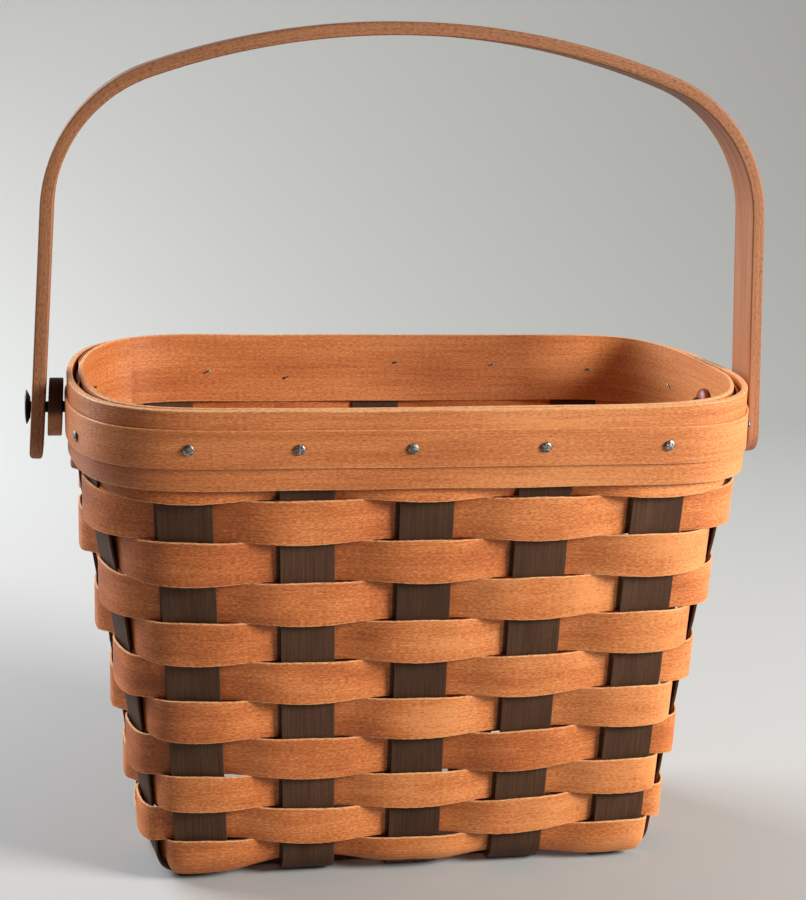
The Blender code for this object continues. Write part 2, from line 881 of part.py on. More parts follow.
for side, direction in (("left", -1), ("right", 1)):
    axis = axis_matrix(Vector((0, 0, pivot_height)), Vector((direction, 0, 0)))
    spacer = turned(f"pivot_spacer_{side}", spacer_profile, spacer_wood, parts)
    spacer.matrix_world = axis @ Matrix.Translation((0, 0, spacer_inner))
    pin = turned(f"pivot_pin_{side}", pin_profile, pin_metal, parts)
    pin.matrix_world = axis
    cap = turned(f"pivot_cap_{side}", cap_profile, cap_wood, parts)
    cap.matrix_world = axis

# Handle: its parent stands on the pivot's axis and turns it about X
handle_axis = bpy.data.objects.new("handle_axis", None)
parts.objects.link(handle_axis)
handle_axis.location = (0, 0, pivot_height)
mesh = handle_mesh()
mesh.transform(Matrix.Translation((0, 0, -pivot_height)))
handle = add_object("handle", mesh, handle_wood, parts)
handle.parent = handle_axis
cut(handle, pivot_bore)
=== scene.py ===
"""Looks of a rectangular splint basket with a swing handle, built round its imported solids.

The sections follow the basket as it is put together: uprights, weavers, rim, tacks, pivots and
handle, and then the floor, the lamps and the camera. Metres, with +Z up and +X to the right.
"""

import math

import bpy
import numpy as np
from mathutils import Matrix


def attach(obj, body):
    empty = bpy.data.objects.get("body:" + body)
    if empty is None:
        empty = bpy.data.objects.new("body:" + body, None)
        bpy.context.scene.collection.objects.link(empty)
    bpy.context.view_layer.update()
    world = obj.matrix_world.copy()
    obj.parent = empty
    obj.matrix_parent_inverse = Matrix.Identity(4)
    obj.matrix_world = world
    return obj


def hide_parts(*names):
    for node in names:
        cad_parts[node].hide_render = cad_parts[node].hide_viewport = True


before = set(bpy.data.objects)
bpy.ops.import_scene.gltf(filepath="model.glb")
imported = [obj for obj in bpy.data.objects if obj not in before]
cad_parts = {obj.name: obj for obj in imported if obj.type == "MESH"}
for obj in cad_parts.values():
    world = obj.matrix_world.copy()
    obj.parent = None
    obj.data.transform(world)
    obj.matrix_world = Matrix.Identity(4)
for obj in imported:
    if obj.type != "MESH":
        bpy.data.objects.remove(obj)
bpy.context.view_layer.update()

# Uprights
# Eight flat splints, sawn thin and stained dark brown, 25 mm wide. Five run across the basket
# and three along it. They cross each other in the base, bend up in an easy curve and stand in
# the walls, where the weavers press them a little to and fro.

rim_height = 0.245
shoulder_height = 0.19936
half_lengths = (0.1265, 0.1596, 0.1602)
half_depths = (0.0555, 0.0830)
end_curve_share = 0.30
length_powers = (16.0, 9.4)
depth_powers = (8.0, 2.5, 2.05)

upright_width = 0.0254
upright_thickness = 0.0013
upright_ease = 0.00025
upright_top = 0.2412
base_gap = 0.0003
long_margin = (0.0098, 0.0351)
long_shift = (0.0015, -0.0028)
cross_margin = (0.0058, 0.0293)
bend_radius = 0.0145
wall_lean = 0.122
worn_reach = 0.0004
upright_half_turn = 0.25

table_height_step = shoulder_height / 20
table_heights = 26
table_fineness = 48
outline_steps = 2880


def mixed(pair, height):
    """Value part of the way from the base's to the rim's, by height."""
    return pair[0] + (pair[1] - pair[0]) * height / rim_height


def wall_line(height):
    """Length so far, x, y and outward normal of the wall's middle line at a height.

    |x / a| ** m + |y / b| ** n = 1, walked anticlockwise from the left end. The ends lean out
    in a slight curve up to the shoulder, where the weave meets the rim, and stand nearly
    upright above it. There the outline grows rounder too.
    """
    climbed = height / shoulder_height
    spread = climbed * (1 - end_curve_share * (1 - climbed))
    half_x = half_lengths[0] + (half_lengths[1] - half_lengths[0]) * spread
    power_y = max(1 / mixed((1 / depth_powers[0], 1 / depth_powers[2]), height), depth_powers[1])
    if climbed > 1:
        above = (height - shoulder_height) / (rim_height - shoulder_height)
        half_x = half_lengths[1] + (half_lengths[2] - half_lengths[1]) * above
        power_y = 1 / (1 / depth_powers[1] + (1 / depth_powers[2] - 1 / depth_powers[1]) * above)
    half_y = mixed(half_depths, height)
    power_x = 1 / mixed((1 / length_powers[0], 1 / length_powers[1]), height)
    angle = np.linspace(-math.pi, math.pi, outline_steps + 1)
    share_x = np.sign(np.cos(angle)) * np.abs(np.cos(angle)) ** (2 / power_x)
    share_y = np.sign(np.sin(angle)) * np.abs(np.sin(angle)) ** (2 / power_y)
    slope_x = np.sign(share_x) * power_x / half_x * np.abs(share_x) ** (power_x - 1)
    slope_y = np.sign(share_y) * power_y / half_y * np.abs(share_y) ** (power_y - 1)
    size = np.hypot(slope_x, slope_y)
    x, y = share_x * half_x, share_y * half_y
    length = np.concatenate(([0.0], np.cumsum(np.hypot(np.diff(x), np.diff(y)))))
    return length, x, y, slope_x / size, slope_y / size


def upright_places(height):
    """x of the five long uprights and y of the three cross uprights at a height."""
    half_x, half_y = mixed((half_lengths[0], half_lengths[2]), height), mixed(half_depths, height)
    reach_x = half_x - mixed(long_margin, height) - upright_width / 2
    reach_y = half_y - mixed(cross_margin, height) - upright_width / 2
    return np.linspace(-reach_x, reach_x, 5) + mixed(long_shift, height), np.linspace(-reach_y, reach_y, 3)


def upright_lengths(height, line):
    """How far round the line each upright's middle stands, from the left end's front one.

    The order is left front, five in front, three at the right, five at the back, left back and
    left middle. They are the turns 0 to 15 of everything that goes round the wall.
    """
    length, x, y, _, _ = line
    along, across = upright_places(height)
    quarter = outline_steps // 4
    left_front = np.interp(-across[0], -y[: quarter + 1], length[: quarter + 1])
    front = np.interp(along, x[: 2 * quarter + 1], length[: 2 * quarter + 1])
    right = np.interp(across, y[quarter : 3 * quarter + 1], length[quarter : 3 * quarter + 1])
    back = np.interp(along[::-1], x[2 * quarter :][::-1], length[2 * quarter :][::-1])
    left_back = np.interp(-across[2], -y[3 * quarter :], length[3 * quarter :])
    return np.concatenate(([left_front], front, right, back, [left_back], [length[-1]]))


def wall_row(height):
    """x, y and normal at every step of a turn round the wall, from turn -1 to turn 15.

    Each upright takes half a turn, half of that on each side of its middle.
    """
    line = wall_line(height)
    middles = upright_lengths(height, line)
    turns = np.arange(16)
    turns = np.stack([turns - upright_half_turn, turns + upright_half_turn], -1).ravel()[:-1]
    known_turns = np.concatenate(([-1.0, upright_half_turn - 1], turns, [15.0]))
    edges = np.stack([middles - upright_width / 2, middles + upright_width / 2], -1).ravel()[:-1]
    known_lengths = np.concatenate(([0.0, upright_width / 2], edges, [line[0][-1]]))
    steps = np.arange(16 * table_fineness + 1) / table_fineness - 1
    length = np.interp(steps, known_turns, known_lengths)
    return np.stack([np.interp(length, line[0], values) for values in line[1:]], -1)


wall_table = np.stack([wall_row(step * table_height_step) for step in range(table_heights)])


def on_wall(turn, height):
    """x, y and level outward normal at a turn and a height, read off the table."""
    turn, height = np.broadcast_arrays(turn, height)
    column = (turn + 1) % 16 * table_fineness
    row = np.clip(height / table_height_step, 0, table_heights - 1.001)
    left, low = column.astype(int), row.astype(int)
    right_share, up_share = (column - left)[..., None], (row - low)[..., None]
    below = wall_table[low, left] * (1 - right_share) + wall_table[low, left + 1] * right_share
    above = wall_table[low + 1, left] * (1 - right_share) + wall_table[low + 1, left + 1] * right_share
    return np.moveaxis(below * (1 - up_share) + above * up_share, -1, 0)


def ring_curve(turn, values):
    """Smooth curve round the wall through one value at each of the sixteen uprights.

    A sum of the eight lowest waves, so it has no kinks.
    """
    waves = np.fft.rfft(values) / 16
    weights = np.where(np.arange(9) % 8 == 0, 1, 2)
    angle = 2 * math.pi * np.asarray(turn)[..., None] * np.arange(9) / 16
    return (weights * (waves.real * np.cos(angle) - waves.imag * np.sin(angle))).sum(-1)


rim_start = 0.212
end_swell = np.append(np.zeros(15), 0.0036)
swell_fade = 0.05
corner_draw = np.append(0.0021, np.zeros(15))
draw_fade = 0.009
draw_start = 0.14


def wall_point(turn, level, outwards, radius):
    """Point on or beside the wall.

    The level is the height up the wall, measured round the bend once it is below the bend's
    start. There the point lies on an arc about a line inside the wall, and outwards is along
    the arc's radius. Higher up, outwards is square to the leaning wall. Below the rim the left
    end swells a little and its front corner is drawn in, most of all high up.
    """
    below_rim = rim_start - level
    swelling = np.clip(below_rim / swell_fade, 0, 1) * np.clip(level / swell_fade, 0, 1)
    drawing = np.clip(below_rim / draw_fade, 0, 1) * np.clip(level / draw_start, 0, 1)
    outwards = outwards + ring_curve(turn, end_swell) * swelling - ring_curve(turn, corner_draw) * drawing
    bend_start = upright_thickness / 2 + radius * (1 - math.sin(wall_lean))
    turned = wall_lean + np.clip((bend_start - level) / radius, 0, math.pi / 2 - wall_lean)
    height = np.maximum(level, bend_start)
    x, y, normal_x, normal_y = on_wall(turn, height)
    out = (radius + outwards) * np.cos(turned) - radius * math.cos(wall_lean)
    z = height + radius * math.sin(wall_lean) - (radius + outwards) * np.sin(turned)
    return np.stack(np.broadcast_arrays(x + normal_x * out, y + normal_y * out, z), -1)


# The rows of the weave ride up beside the outer uprights, the lower ones the most
rise_shares = np.array([0.15, 1.0, 0.3, 0.0, 0.3, 1.0, 0.15, 0.0, 0.15, 1.0, 0.3, 0.0, 0.3, 1.0, 0.15, 0.0])
rise_at_base = 0.0034
rise_end = 0.206


def row_rise(turn, level):
    """How much higher than its level a row lies at a turn: a wave that fades towards the rim."""
    return ring_curve(turn, rise_shares) * rise_at_base * np.clip(1 - level / rise_end, 0, 1)


def length_along(points):
    """Length so far at each point of a line, from its first point."""
    return np.concatenate(([0.0], np.cumsum(np.linalg.norm(np.diff(points, axis=0), axis=1))))


def length_round(across, outwards):
    """Length so far at each corner of a section, and last the whole way round."""
    step = np.hypot(np.diff(across, append=across[0]), np.diff(outwards, append=outwards[0]))
    return np.concatenate(([0.0], np.cumsum(step)))


def eased_section(width, thickness, ease, face_steps, ease_steps=3):
    """Section of a strip with rounded edges: across, outwards, and the length round it.

    Four quarter circles joined by straight faces, anticlockwise from the lower outer corner.
    The faces start a hair inside the edges, so that wear can end there.
    """
    across, outwards = [], []
    for side, out, start in ((1, 1, 0), (-1, 1, 1), (-1, -1, 2), (1, -1, 3)):
        angle = (start + np.linspace(0, 1, ease_steps + 1)) * math.pi / 2
        across.append(side * (width / 2 - ease) + ease * np.cos(angle))
        outwards.append(out * (thickness / 2 - ease) + ease * np.sin(angle))
        if start % 2 == 0:
            across.append(side * np.linspace(1, -1, face_steps + 1) * (width / 2 - ease - worn_reach))
            outwards.append(np.full(face_steps + 1, out * thickness / 2))
    across, outwards = np.concatenate(across), np.concatenate(outwards)
    return across, outwards, length_round(across, outwards)


def worn_edge(across, width, ease):
    """1 at a strip's two edges, falling to 0 a hair inside them."""
    return np.clip(1 - (width / 2 - np.abs(across)) / (ease + worn_reach), 0, 1)


def piece(name, points, along, around, material, slot, nodes, body="basket", closed=False, **marks):
    """Skin a grid of points (ring, corner, xyz) and put it on its body.

    Each face joins two corners of a ring to the same two of the next. A closed piece joins its
    last ring to its first, and an open one gets a flat face over each end. The grain map is the
    length along and around the piece, in metres. Marks are one number for each point.
    """
    rings, corners = points.shape[:2]
    spans = rings if closed else rings - 1
    ring, corner = [a.ravel() for a in np.meshgrid(np.arange(spans), np.arange(corners), indexing="ij")]
    beside, following = (corner + 1) % corners, (ring + 1) % rings
    faces = np.stack([ring * corners + corner, ring * corners + beside,
                      following * corners + beside, following * corners + corner], -1)
    along = np.asarray(along, float)
    if closed:
        along = np.append(along, 2 * along[-1] - along[-2])
    grain_u = np.stack([along[ring], along[ring], along[ring + 1], along[ring + 1]], -1)
    grain_v = np.stack([around[corner], around[corner + 1], around[corner + 1], around[corner]], -1)
    flat = points.reshape(-1, 3)
    one, two, three, four = (flat[faces[:, k]] for k in range(4))
    volume = (np.cross(two - one, three - one) * one).sum()
    volume += (np.cross(three - one, four - one) * one).sum()
    if volume < 0:
        faces, grain_u, grain_v = faces[:, ::-1], grain_u[:, ::-1], grain_v[:, ::-1]
    polygons = faces.tolist()
    grain = np.stack([grain_u, grain_v], -1).reshape(-1, 2)
    if not closed:
        start, finish = list(range(corners)), list(range((rings - 1) * corners, rings * corners))
        inner_map = np.stack([np.full(corners, along[0]), around[:-1]], -1)
        outer_map = np.stack([np.full(corners, along[-1]), around[:-1]], -1)
        if volume < 0:
            polygons += [start, finish[::-1]]
            grain = np.concatenate([grain, inner_map, outer_map[::-1]])
        else:
            polygons += [start[::-1], finish]
            grain = np.concatenate([grain, inner_map[::-1], outer_map])
    mesh = bpy.data.meshes.new(name)
    mesh.from_pydata(flat.tolist(), [], polygons)
    mesh.uv_layers.new(name="grain").data.foreach_set("uv", grain.astype(np.float32).ravel())
    for mark, values in marks.items():
        values = np.broadcast_to(values, (rings, corners)).astype(np.float32).ravel()
        mesh.attributes.new(mark, "FLOAT", "POINT").data.foreach_set("value", values)
    mesh.materials.append(material)
    mesh.shade_smooth()
    mesh.set_sharp_from_angle(angle=math.radians(50))
    item = bpy.data.objects.new(name, mesh)
    bpy.context.scene.collection.objects.link(item)
    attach(item, body)
    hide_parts(*nodes)
    return item


class Workshop:
    """A new node material, its shader, and short ways to add nodes to it."""

    def __init__(self, name):
        self.material = bpy.data.materials.new(name)
        self.material.use_nodes = True
        self.tree = self.material.node_tree
        self.shader = self.tree.nodes["Principled BSDF"]

    def node(self, kind, inputs=None, **settings):
        """Add a node. Inputs are values or the sockets that feed them."""
        node = self.tree.nodes.new(kind)
        for key, value in settings.items():
            setattr(node, key, value)
        for key, value in (inputs or {}).items():
            if isinstance(value, bpy.types.NodeSocket):
                self.tree.links.new(value, node.inputs[key])
            else:
                node.inputs[key].default_value = value
        return node

    def sum(self, operation, first, second, third=0.0, clamp=False):
        """One step of arithmetic."""
        sockets = {0: first, 1: second, 2: third}
        return self.node("ShaderNodeMath", sockets, operation=operation, use_clamp=clamp).outputs[0]

    def noise(self, vector, scale, detail=3.0, roughness=0.55):
        """Noise on a vector that is stretched by a scale along each axis."""
        stretched = self.node("ShaderNodeMapping", {"Vector": vector, "Scale": scale})
        sockets = {"Vector": stretched.outputs[0], "Scale": 1.0, "Detail": detail, "Roughness": roughness}
        return self.node("ShaderNodeTexNoise", sockets).outputs[0]

    def between(self, value, low, high, to_low=0.0, to_high=1.0):
        """Carry a value from one range to another, and hold it there."""
        sockets = {0: value, 1: low, 2: high, 3: to_low, 4: to_high}
        return self.node("ShaderNodeMapRange", sockets).outputs[0]

    def ramp(self, value, *stops):
        """Colour from a value by stops of (place, colour)."""
        node = self.node("ShaderNodeValToRGB", {0: value})
        while len(node.color_ramp.elements) < len(stops):
            node.color_ramp.elements.new(0.5)
        for element, (place, colour) in zip(node.color_ramp.elements, stops):
            element.position = place
            element.color = (*colour, 1)
        return node.outputs[0]

    def blend(self, share, first, second):
        """Mix two colours, each a value or a socket."""
        node = self.node("ShaderNodeMix", data_type="RGBA")
        for key, value in ((0, share), (6, first), (7, second)):
            if isinstance(value, bpy.types.NodeSocket):
                self.tree.links.new(value, node.inputs[key])
            else:
                node.inputs[key].default_value = value if key == 0 else (*value, 1)
        return node.outputs[2]

    def connect(self, name, value):
        """Feed one of the shader's inputs."""
        self.tree.links.new(value, self.shader.inputs[name])

    def bump(self, height, strength, distance):
        """Fine relief from a height."""
        node = self.node("ShaderNodeBump", {"Height": height, "Strength": strength, "Distance": distance})
        self.connect("Normal", node.outputs[0])


def stained_wood(name, deep, middle, pale, worn, fibre_scale, cloud_scale, cloud_share=0.9,
                 fibre_share=0.55, fleck_share=0.7, pore_share=0.3, saw_share=0.1,
                 roughness=0.6, gloss=0.2, relief=0.0001):
    """Stained wood on a piece's grain map, with u along the grain and v across it.

    The colour runs from deep to pale by a cloudy noise, long fibres, short flecks, faint saw
    marks across the grain and the piece's tone, which holds random differences and, on some
    pieces, painted light and shade. Short dark pores lie on it, worn edges are paler, and the
    split mark is nearly black, for real splits and for painted shadow. Fibres, flecks and pores
    make the relief too. Where the finish mark is set the wood is shinier and its relief is
    stronger.
    """
    shop = Workshop(name)
    place = shop.node("ShaderNodeUVMap", uv_map="grain").outputs[0]
    cloud = shop.noise(place, cloud_scale, 3.0)
    fibre = shop.noise(place, fibre_scale, 4.0, 0.65)
    fleck = shop.noise(place, (480, 1500, 1), 3.0, 0.6)
    pores = shop.noise(place, (300, 2600, 1), 2.0, 0.5)
    saw = shop.noise(place, (1150, 26, 1), 2.0, 0.6)
    tone, edge, split, finish = (shop.node("ShaderNodeAttribute", attribute_name=mark).outputs["Fac"]
                                 for mark in ("tone", "edge", "split", "finish"))
    shade = shop.sum("MULTIPLY_ADD", cloud, cloud_share, 0.5 - cloud_share / 2)
    for texture, amount in ((fibre, fibre_share), (fleck, fleck_share), (saw, saw_share)):
        shade = shop.sum("MULTIPLY_ADD", shop.sum("SUBTRACT", texture, 0.5), amount, shade)
    shade = shop.sum("ADD", shade, tone, clamp=True)
    colour = shop.ramp(shade, (0.0, deep), (0.5, middle), (1.0, pale))
    dark_pores = shop.between(pores, 0.60, 0.72, 0.0, pore_share)
    colour = shop.blend(dark_pores, colour, deep)
    rubbed = shop.sum("MULTIPLY", edge, shop.between(fleck, 0.38, 0.58, 0.25, 1.0))
    colour = shop.blend(rubbed, colour, worn)
    # Nearly black for the trim's real splits, and for painted shadow beside the uprights on the weavers
    colour = shop.blend(split, colour, (0.012, 0.007, 0.004))
    shop.connect("Base Color", colour)
    rough = shop.between(fleck, 0.3, 0.7, roughness - 0.06, roughness + 0.08)
    shop.connect("Roughness", shop.sum("MULTIPLY_ADD", finish, -0.25, rough))
    shop.shader.inputs["Specular IOR Level"].default_value = gloss
    height = shop.sum("MULTIPLY_ADD", dark_pores, -0.8, shop.sum("MULTIPLY_ADD", fleck, 0.8, fibre))
    height = shop.sum("MULTIPLY", height, shop.sum("MULTIPLY_ADD", finish, 3.0, 1.0))
    shop.bump(height, 0.5, relief)
    return shop.material


upright_wood = stained_wood(
    "dark stained splint",
    deep=(0.030, 0.013, 0.007), middle=(0.064, 0.029, 0.015), pale=(0.120, 0.058, 0.030),
    worn=(0.13, 0.068, 0.038), fibre_scale=(30, 1500, 1), cloud_scale=(18, 80, 1), cloud_share=0.7,
    fibre_share=1.3, fleck_share=0.35, pore_share=0.35, saw_share=0.12,
    roughness=0.66, gloss=0.18, relief=0.00012)

section = eased_section(upright_width, upright_thickness, upright_ease, 6)
upright_across, upright_out, upright_around = section
upright_edge = 0.6 * worn_edge(upright_across, upright_width, upright_ease)
row_press = 0.00025
press_fade = 0.01
half_row = 0.009
base_reach = 0.9
upright_tone = 0.08
wall_rings = 90
bend_rings = 13
base_rings = 90

# Where the rows of the weave begin, and where the splints cross each other in the base
low_pitch = 0.01791
high_pitch = 0.02042
low_rows = 3
weave_bottom = 0.0027
rows_below = np.arange(13)
row_levels = weave_bottom + np.minimum(rows_below, low_rows) * low_pitch
row_levels += np.maximum(rows_below - low_rows, 0) * high_pitch
base_crossings = (upright_places(0)[1], upright_places(0)[0])


def upright_points(stake, opposite, along_y, first_is_high):
    """Down one wall, round the bend, over and under the crossing splints, and up the other.

    On a wall each ring lies flat between the two edges of the upright. In the base it is a
    straight line from bend to bend, lifted by a smoothed square wave at each crossing and by
    the curve of the base's nearer side.
    """
    bend_start = upright_thickness / 2 + bend_radius * (1 - math.sin(wall_lean))
    bend_end = bend_start - bend_radius * (math.pi / 2 - wall_lean)
    levels = np.append(np.linspace(upright_top, bend_start, wall_rings)[:-1],
                       np.linspace(bend_start, bend_end, bend_rings))
    row_sides = np.where(np.arange(12) % 2 == 0, 1, -1)
    press = np.interp(levels, row_levels[:-1] + half_row, row_sides) * row_press
    press = np.where(levels > rise_end, 0, press * np.clip((levels - bend_start) / press_fade, 0, 1))
    walls = []
    for end, turned in ((stake, 1), (opposite, -1)):
        side_of_end = 1 if end % 2 == 1 else -1
        out = upright_out[None, :] - side_of_end * press[:, None]
        first = wall_point(end - upright_half_turn * turned, levels[:, None], out, bend_radius)
        last = wall_point(end + upright_half_turn * turned, levels[:, None], out, bend_radius)
        share = upright_across / upright_width + 0.5
        walls.append(first + (last - first) * share[None, :, None])
    start, finish = walls[0][-1], walls[1][-1]
    crossings = base_crossings[0 if along_y else 1]
    axis, beside = (1, 0) if along_y else (0, 1)
    steps = np.linspace(0, 1, base_rings)[1:-1]
    base = start + (finish - start) * steps[:, None, None]
    travelled = base[:, :, axis].mean(1)
    signs = np.where((np.arange(len(crossings)) % 2 == 0) == first_is_high, 1.0, -1.0)
    reach = upright_width * base_reach / 2
    knots = np.stack([crossings - reach, crossings + reach], -1).ravel()
    knots = np.concatenate([[travelled[0]], knots, [travelled[-1]]])
    heights = np.concatenate([[-1.0], np.repeat(signs, 2), [-1.0]])
    order = np.argsort(knots)
    wave = np.interp(travelled, knots[order], heights[order])
    wave = np.convolve(np.pad(wave, 3, mode="edge"), np.ones(7) / 7, mode="valid")
    half_across = half_lengths[0] if along_y else half_depths[0]
    inside = np.clip(half_across - np.abs(base[:, :, beside]), 0, bend_radius)
    dish = bend_radius - np.sqrt(bend_radius**2 - (bend_radius - inside) ** 2)
    fade = np.sin(np.clip(np.minimum(steps, 1 - steps) * 6, 0, 1) * math.pi / 2)
    base[:, :, 2] += ((wave + 1) / 2 * (upright_thickness + base_gap))[:, None] + dish * fade[:, None]
    return np.concatenate([walls[0], base, walls[1][::-1]])


grain_step = 1.3
cross_grain_start = 8
luck = np.random.default_rng(41)
for number in range(5):
    points = upright_points(1 + number, 13 - number, True, number % 2 == 1)
    along = length_along(points[:, 3]) + grain_step * number
    piece(f"long_splint_{number + 1}", points, along, upright_around, upright_wood, "upright_splint",
          [f"long_upright_{number + 1}"], edge=upright_edge[None, :],
          tone=luck.uniform(-upright_tone, upright_tone))
for number in range(3):
    points = upright_points((0 - number) % 16, 6 + number, False, number % 2 == 0)
    along = length_along(points[:, 3]) + grain_step * number + cross_grain_start
    piece(f"cross_splint_{number + 1}", points, along, upright_around, upright_wood, "upright_splint",
          [f"cross_upright_{number + 1}"], edge=upright_edge[None, :],
          tone=luck.uniform(-upright_tone, upright_tone))

# Weavers
# Twelve splints of maple, stained orange brown, about 20 mm wide and 1 mm thick. Each goes once
# round in plain weave, swells out over every second upright and dives behind the next. The
# sawn edges are a little ragged and rubbed pale.

weaver_thickness = 0.0011
weaver_ease = 0.0003
row_gap = 0.0001
free_swing = 0.0029
end_swing = 0.0007
clamped_swing = 0.0014
clamp_start = 0.1985
clamp_end = 0.2075
corner_bend_radius = 0.005
lowest_rise = 0.0008
at_the_ends = np.array([0.8, 0, 0, 0, 0, 0, 0.8, 1, 0.8, 0, 0, 0, 0, 0, 0.8, 1])
at_the_corners = np.array([0.5, 0, 0, 0, 0, 0, 0.5, 0, 0.5, 0, 0, 0, 0, 0, 0.5, 0])
standing_at_sides = 0.35
low_edge_turns = (0.0, 0.5, 1.0, 1.6, 2.0, 2.6, 3.0, 3.5, 4.0, 4.3, 5.0, 5.5, 6.0)
low_edge_lifts = (0.0, -0.0008, -0.0012, 0.0, 0.0018, 0.0030, 0.0038, 0.0018, -0.0005, -0.0022,
                  -0.0014, -0.0008, 0.0)
pressed_turn = 0.35
pressed_spread = 0.28
pressed_depth = 0.0018
edge_spread = 0.075
# Painted shadow on the weavers beside each upright: its width and tuck in turns, its fade and its darkness
painted_shadow_width = 0.032
painted_shadow_tuck = 0.012
painted_shadow_fade = 0.008
painted_shadow_strength = 0.85
# How much paler the wood is painted towards the basket's right, per metre, as painted light
painted_light_slope = 1.9
weaver_grain_step = 1.7
top_edge = 0.2424
top_tilt = 0.020

weaver_wood = stained_wood(
    "orange brown stained splint",
    deep=(0.30, 0.070, 0.014), middle=(0.54, 0.152, 0.037), pale=(0.74, 0.285, 0.092),
    worn=(0.82, 0.46, 0.22), fibre_scale=(45, 900, 1), cloud_scale=(16, 62, 1), cloud_share=1.4,
    fibre_share=0.9, fleck_share=2.0, pore_share=0.6, saw_share=0.15,
    roughness=0.57, gloss=0.34, relief=0.00014)


def wavy(turn, random, lowest, highest, size):
    """Sum of random waves round the wall, from the lowest count a lap to the highest."""
    counts = np.arange(lowest, highest)
    phases = random.uniform(0, 2 * math.pi, len(counts))
    sizes = random.normal(0, 1, len(counts)) / np.sqrt(counts)
    sizes *= size / np.sqrt((sizes**2).sum() / 2)
    return (sizes * np.sin(2 * math.pi * counts * np.asarray(turn)[..., None] / 16 + phases)).sum(-1)


# Steps round the wall, in turns from a place behind an upright. Two turns bring the weaver
# behind the next but one, and it dives behind it at its left edge, where the steps are finer
# for the painted shadow there
dive_turn = 2 - upright_half_turn
fine_steps = np.array([-0.001, 0.003, 0.008, 0.015, 0.022, 0.029, 0.036, 0.043])
two_turns = np.unique(np.append(np.arange(72) / 36, dive_turn - painted_shadow_width + fine_steps))
turns_done = (np.arange(8)[:, None] * 2 + two_turns).ravel()
for row in range(12):
    bottom, top = row_levels[row], row_levels[row + 1] - row_gap
    if row == 0:
        bottom += lowest_rise
    if row == 11:
        top = top_edge
    across, out, around = eased_section(top - bottom, weaver_thickness, weaver_ease, 8)
    turn = (12 if row % 2 == 0 else 11) + turns_done
    row_side = -1 if row % 2 == 0 else 1
    share = across / (top - bottom) * 2
    rag_low = wavy(turn, luck, 60, 420, 0.00005) + wavy(turn, luck, 3, 24, 0.00008)
    rag_high = wavy(turn, luck, 60, 420, 0.00005) + wavy(turn, luck, 3, 24, 0.00008)
    rag = np.where(share > 0, rag_high[:, None], rag_low[:, None]) * share**4
    centre = (bottom + top) / 2
    level = centre + across[None, :] + rag
    if row == 11:
        level = level + top_tilt * on_wall(turn, rim_height)[1][:, None] * (share + 1) / 2
    lap = turn[:, None]
    free = 1 - np.clip((level - clamp_start) / (clamp_end - clamp_start), 0, 1)
    ends = np.clip(ring_curve(lap, at_the_ends), 0, 1)
    loose = free_swing + end_swing * ends + wavy(turn, luck, 2, 12, 0.00012)[:, None]
    swing = clamped_swing + (loose - clamped_swing) * free * free * (3 - 2 * free)
    # The beat is 1 where the weaver is in front of an upright and -1 where it is behind one,
    # and the slant is 1 halfway down its right side
    beat, slant = row_side * np.cos(math.pi * lap), row_side * np.sin(math.pi * lap)
    outwards = out[None, :] + swing * (1.4 * beat - 0.4 * beat**3)
    level = level + across[None, :] * edge_spread * beat**2
    radius = bend_radius
    if row == 0:
        # The lowest weaver bends more tightly at the corners and is pressed in beside them
        corner = np.clip(ring_curve(lap, at_the_corners), 0, 1)
        radius = bend_radius + (corner_bend_radius - bend_radius) * corner
        mirrored = np.where((lap + 1) % 16 < 8, (lap + 1) % 16 - 1, 15 - (lap + 1) % 16)
        pressed = np.exp(-(((mirrored - pressed_turn) / pressed_spread) ** 2))
        outwards = outwards - pressed_depth * pressed
    points = wall_point(lap, level, outwards, radius)
    if 0 < row < 11:
        # The others stand more upright than the wall, most of all at the ends
        standing = wall_point(lap, centre + 0 * level, outwards, radius)
        standing[:, :, 2] += (level - centre) * math.cos(wall_lean)
        points += (standing - points) * (standing_at_sides + (1 - standing_at_sides) * ends)[..., None]
    points[:, :, 2] += row_rise(lap, centre)
    if row == 0:
        lift = np.interp(mirrored, low_edge_turns, low_edge_lifts)
        points[:, :, 2] += lift * (0.5 - share / 2) ** 1.3
    along = length_along(points[:, 4]) + weaver_grain_step * row
    edge = worn_edge(across, top - bottom, weaver_ease)[None, :] * (0.7 + 0.3 * beat)
    # Painted light and shade: the tone is darker where the weaver lies behind an upright, paler down the
    # right side of each swell and paler towards the basket's right, as if lit from the right
    tone = luck.uniform(-0.13, 0.13) - 0.02 + 0.10 * beat + 0.09 * slant
    tone = tone + wavy(turn, luck, 2, 16, 0.05)[:, None] + painted_light_slope * points[:, :, 0]
    # Painted shadow: a nearly black band on the weaver's outer face, just left of each upright it dives
    # behind, where that upright's shadow falls
    into = turns_done[:, None] % 2 - dive_turn + painted_shadow_width
    painted_shadow = np.clip(into / painted_shadow_fade, 0, 1)
    painted_shadow = painted_shadow * np.clip((painted_shadow_width + painted_shadow_tuck - into) / painted_shadow_fade, 0, 1)
    painted_shadow = painted_shadow_strength * painted_shadow * (out[None, :] > 0)
    piece(f"woven_splint_{row + 1:02d}", points, along, around, weaver_wood, "weaver_splint",
          [f"weaver_row_{row + 1:02d}"], closed=True, edge=edge, tone=tone, split=painted_shadow)

# Rim
# Three bent maple strips clamp the top of the weave: a band inside, a thicker one outside and
# a narrow trim strip over that. Each is bent once round, and its thinned ends lap over each
# other. Their edges are sanded round.

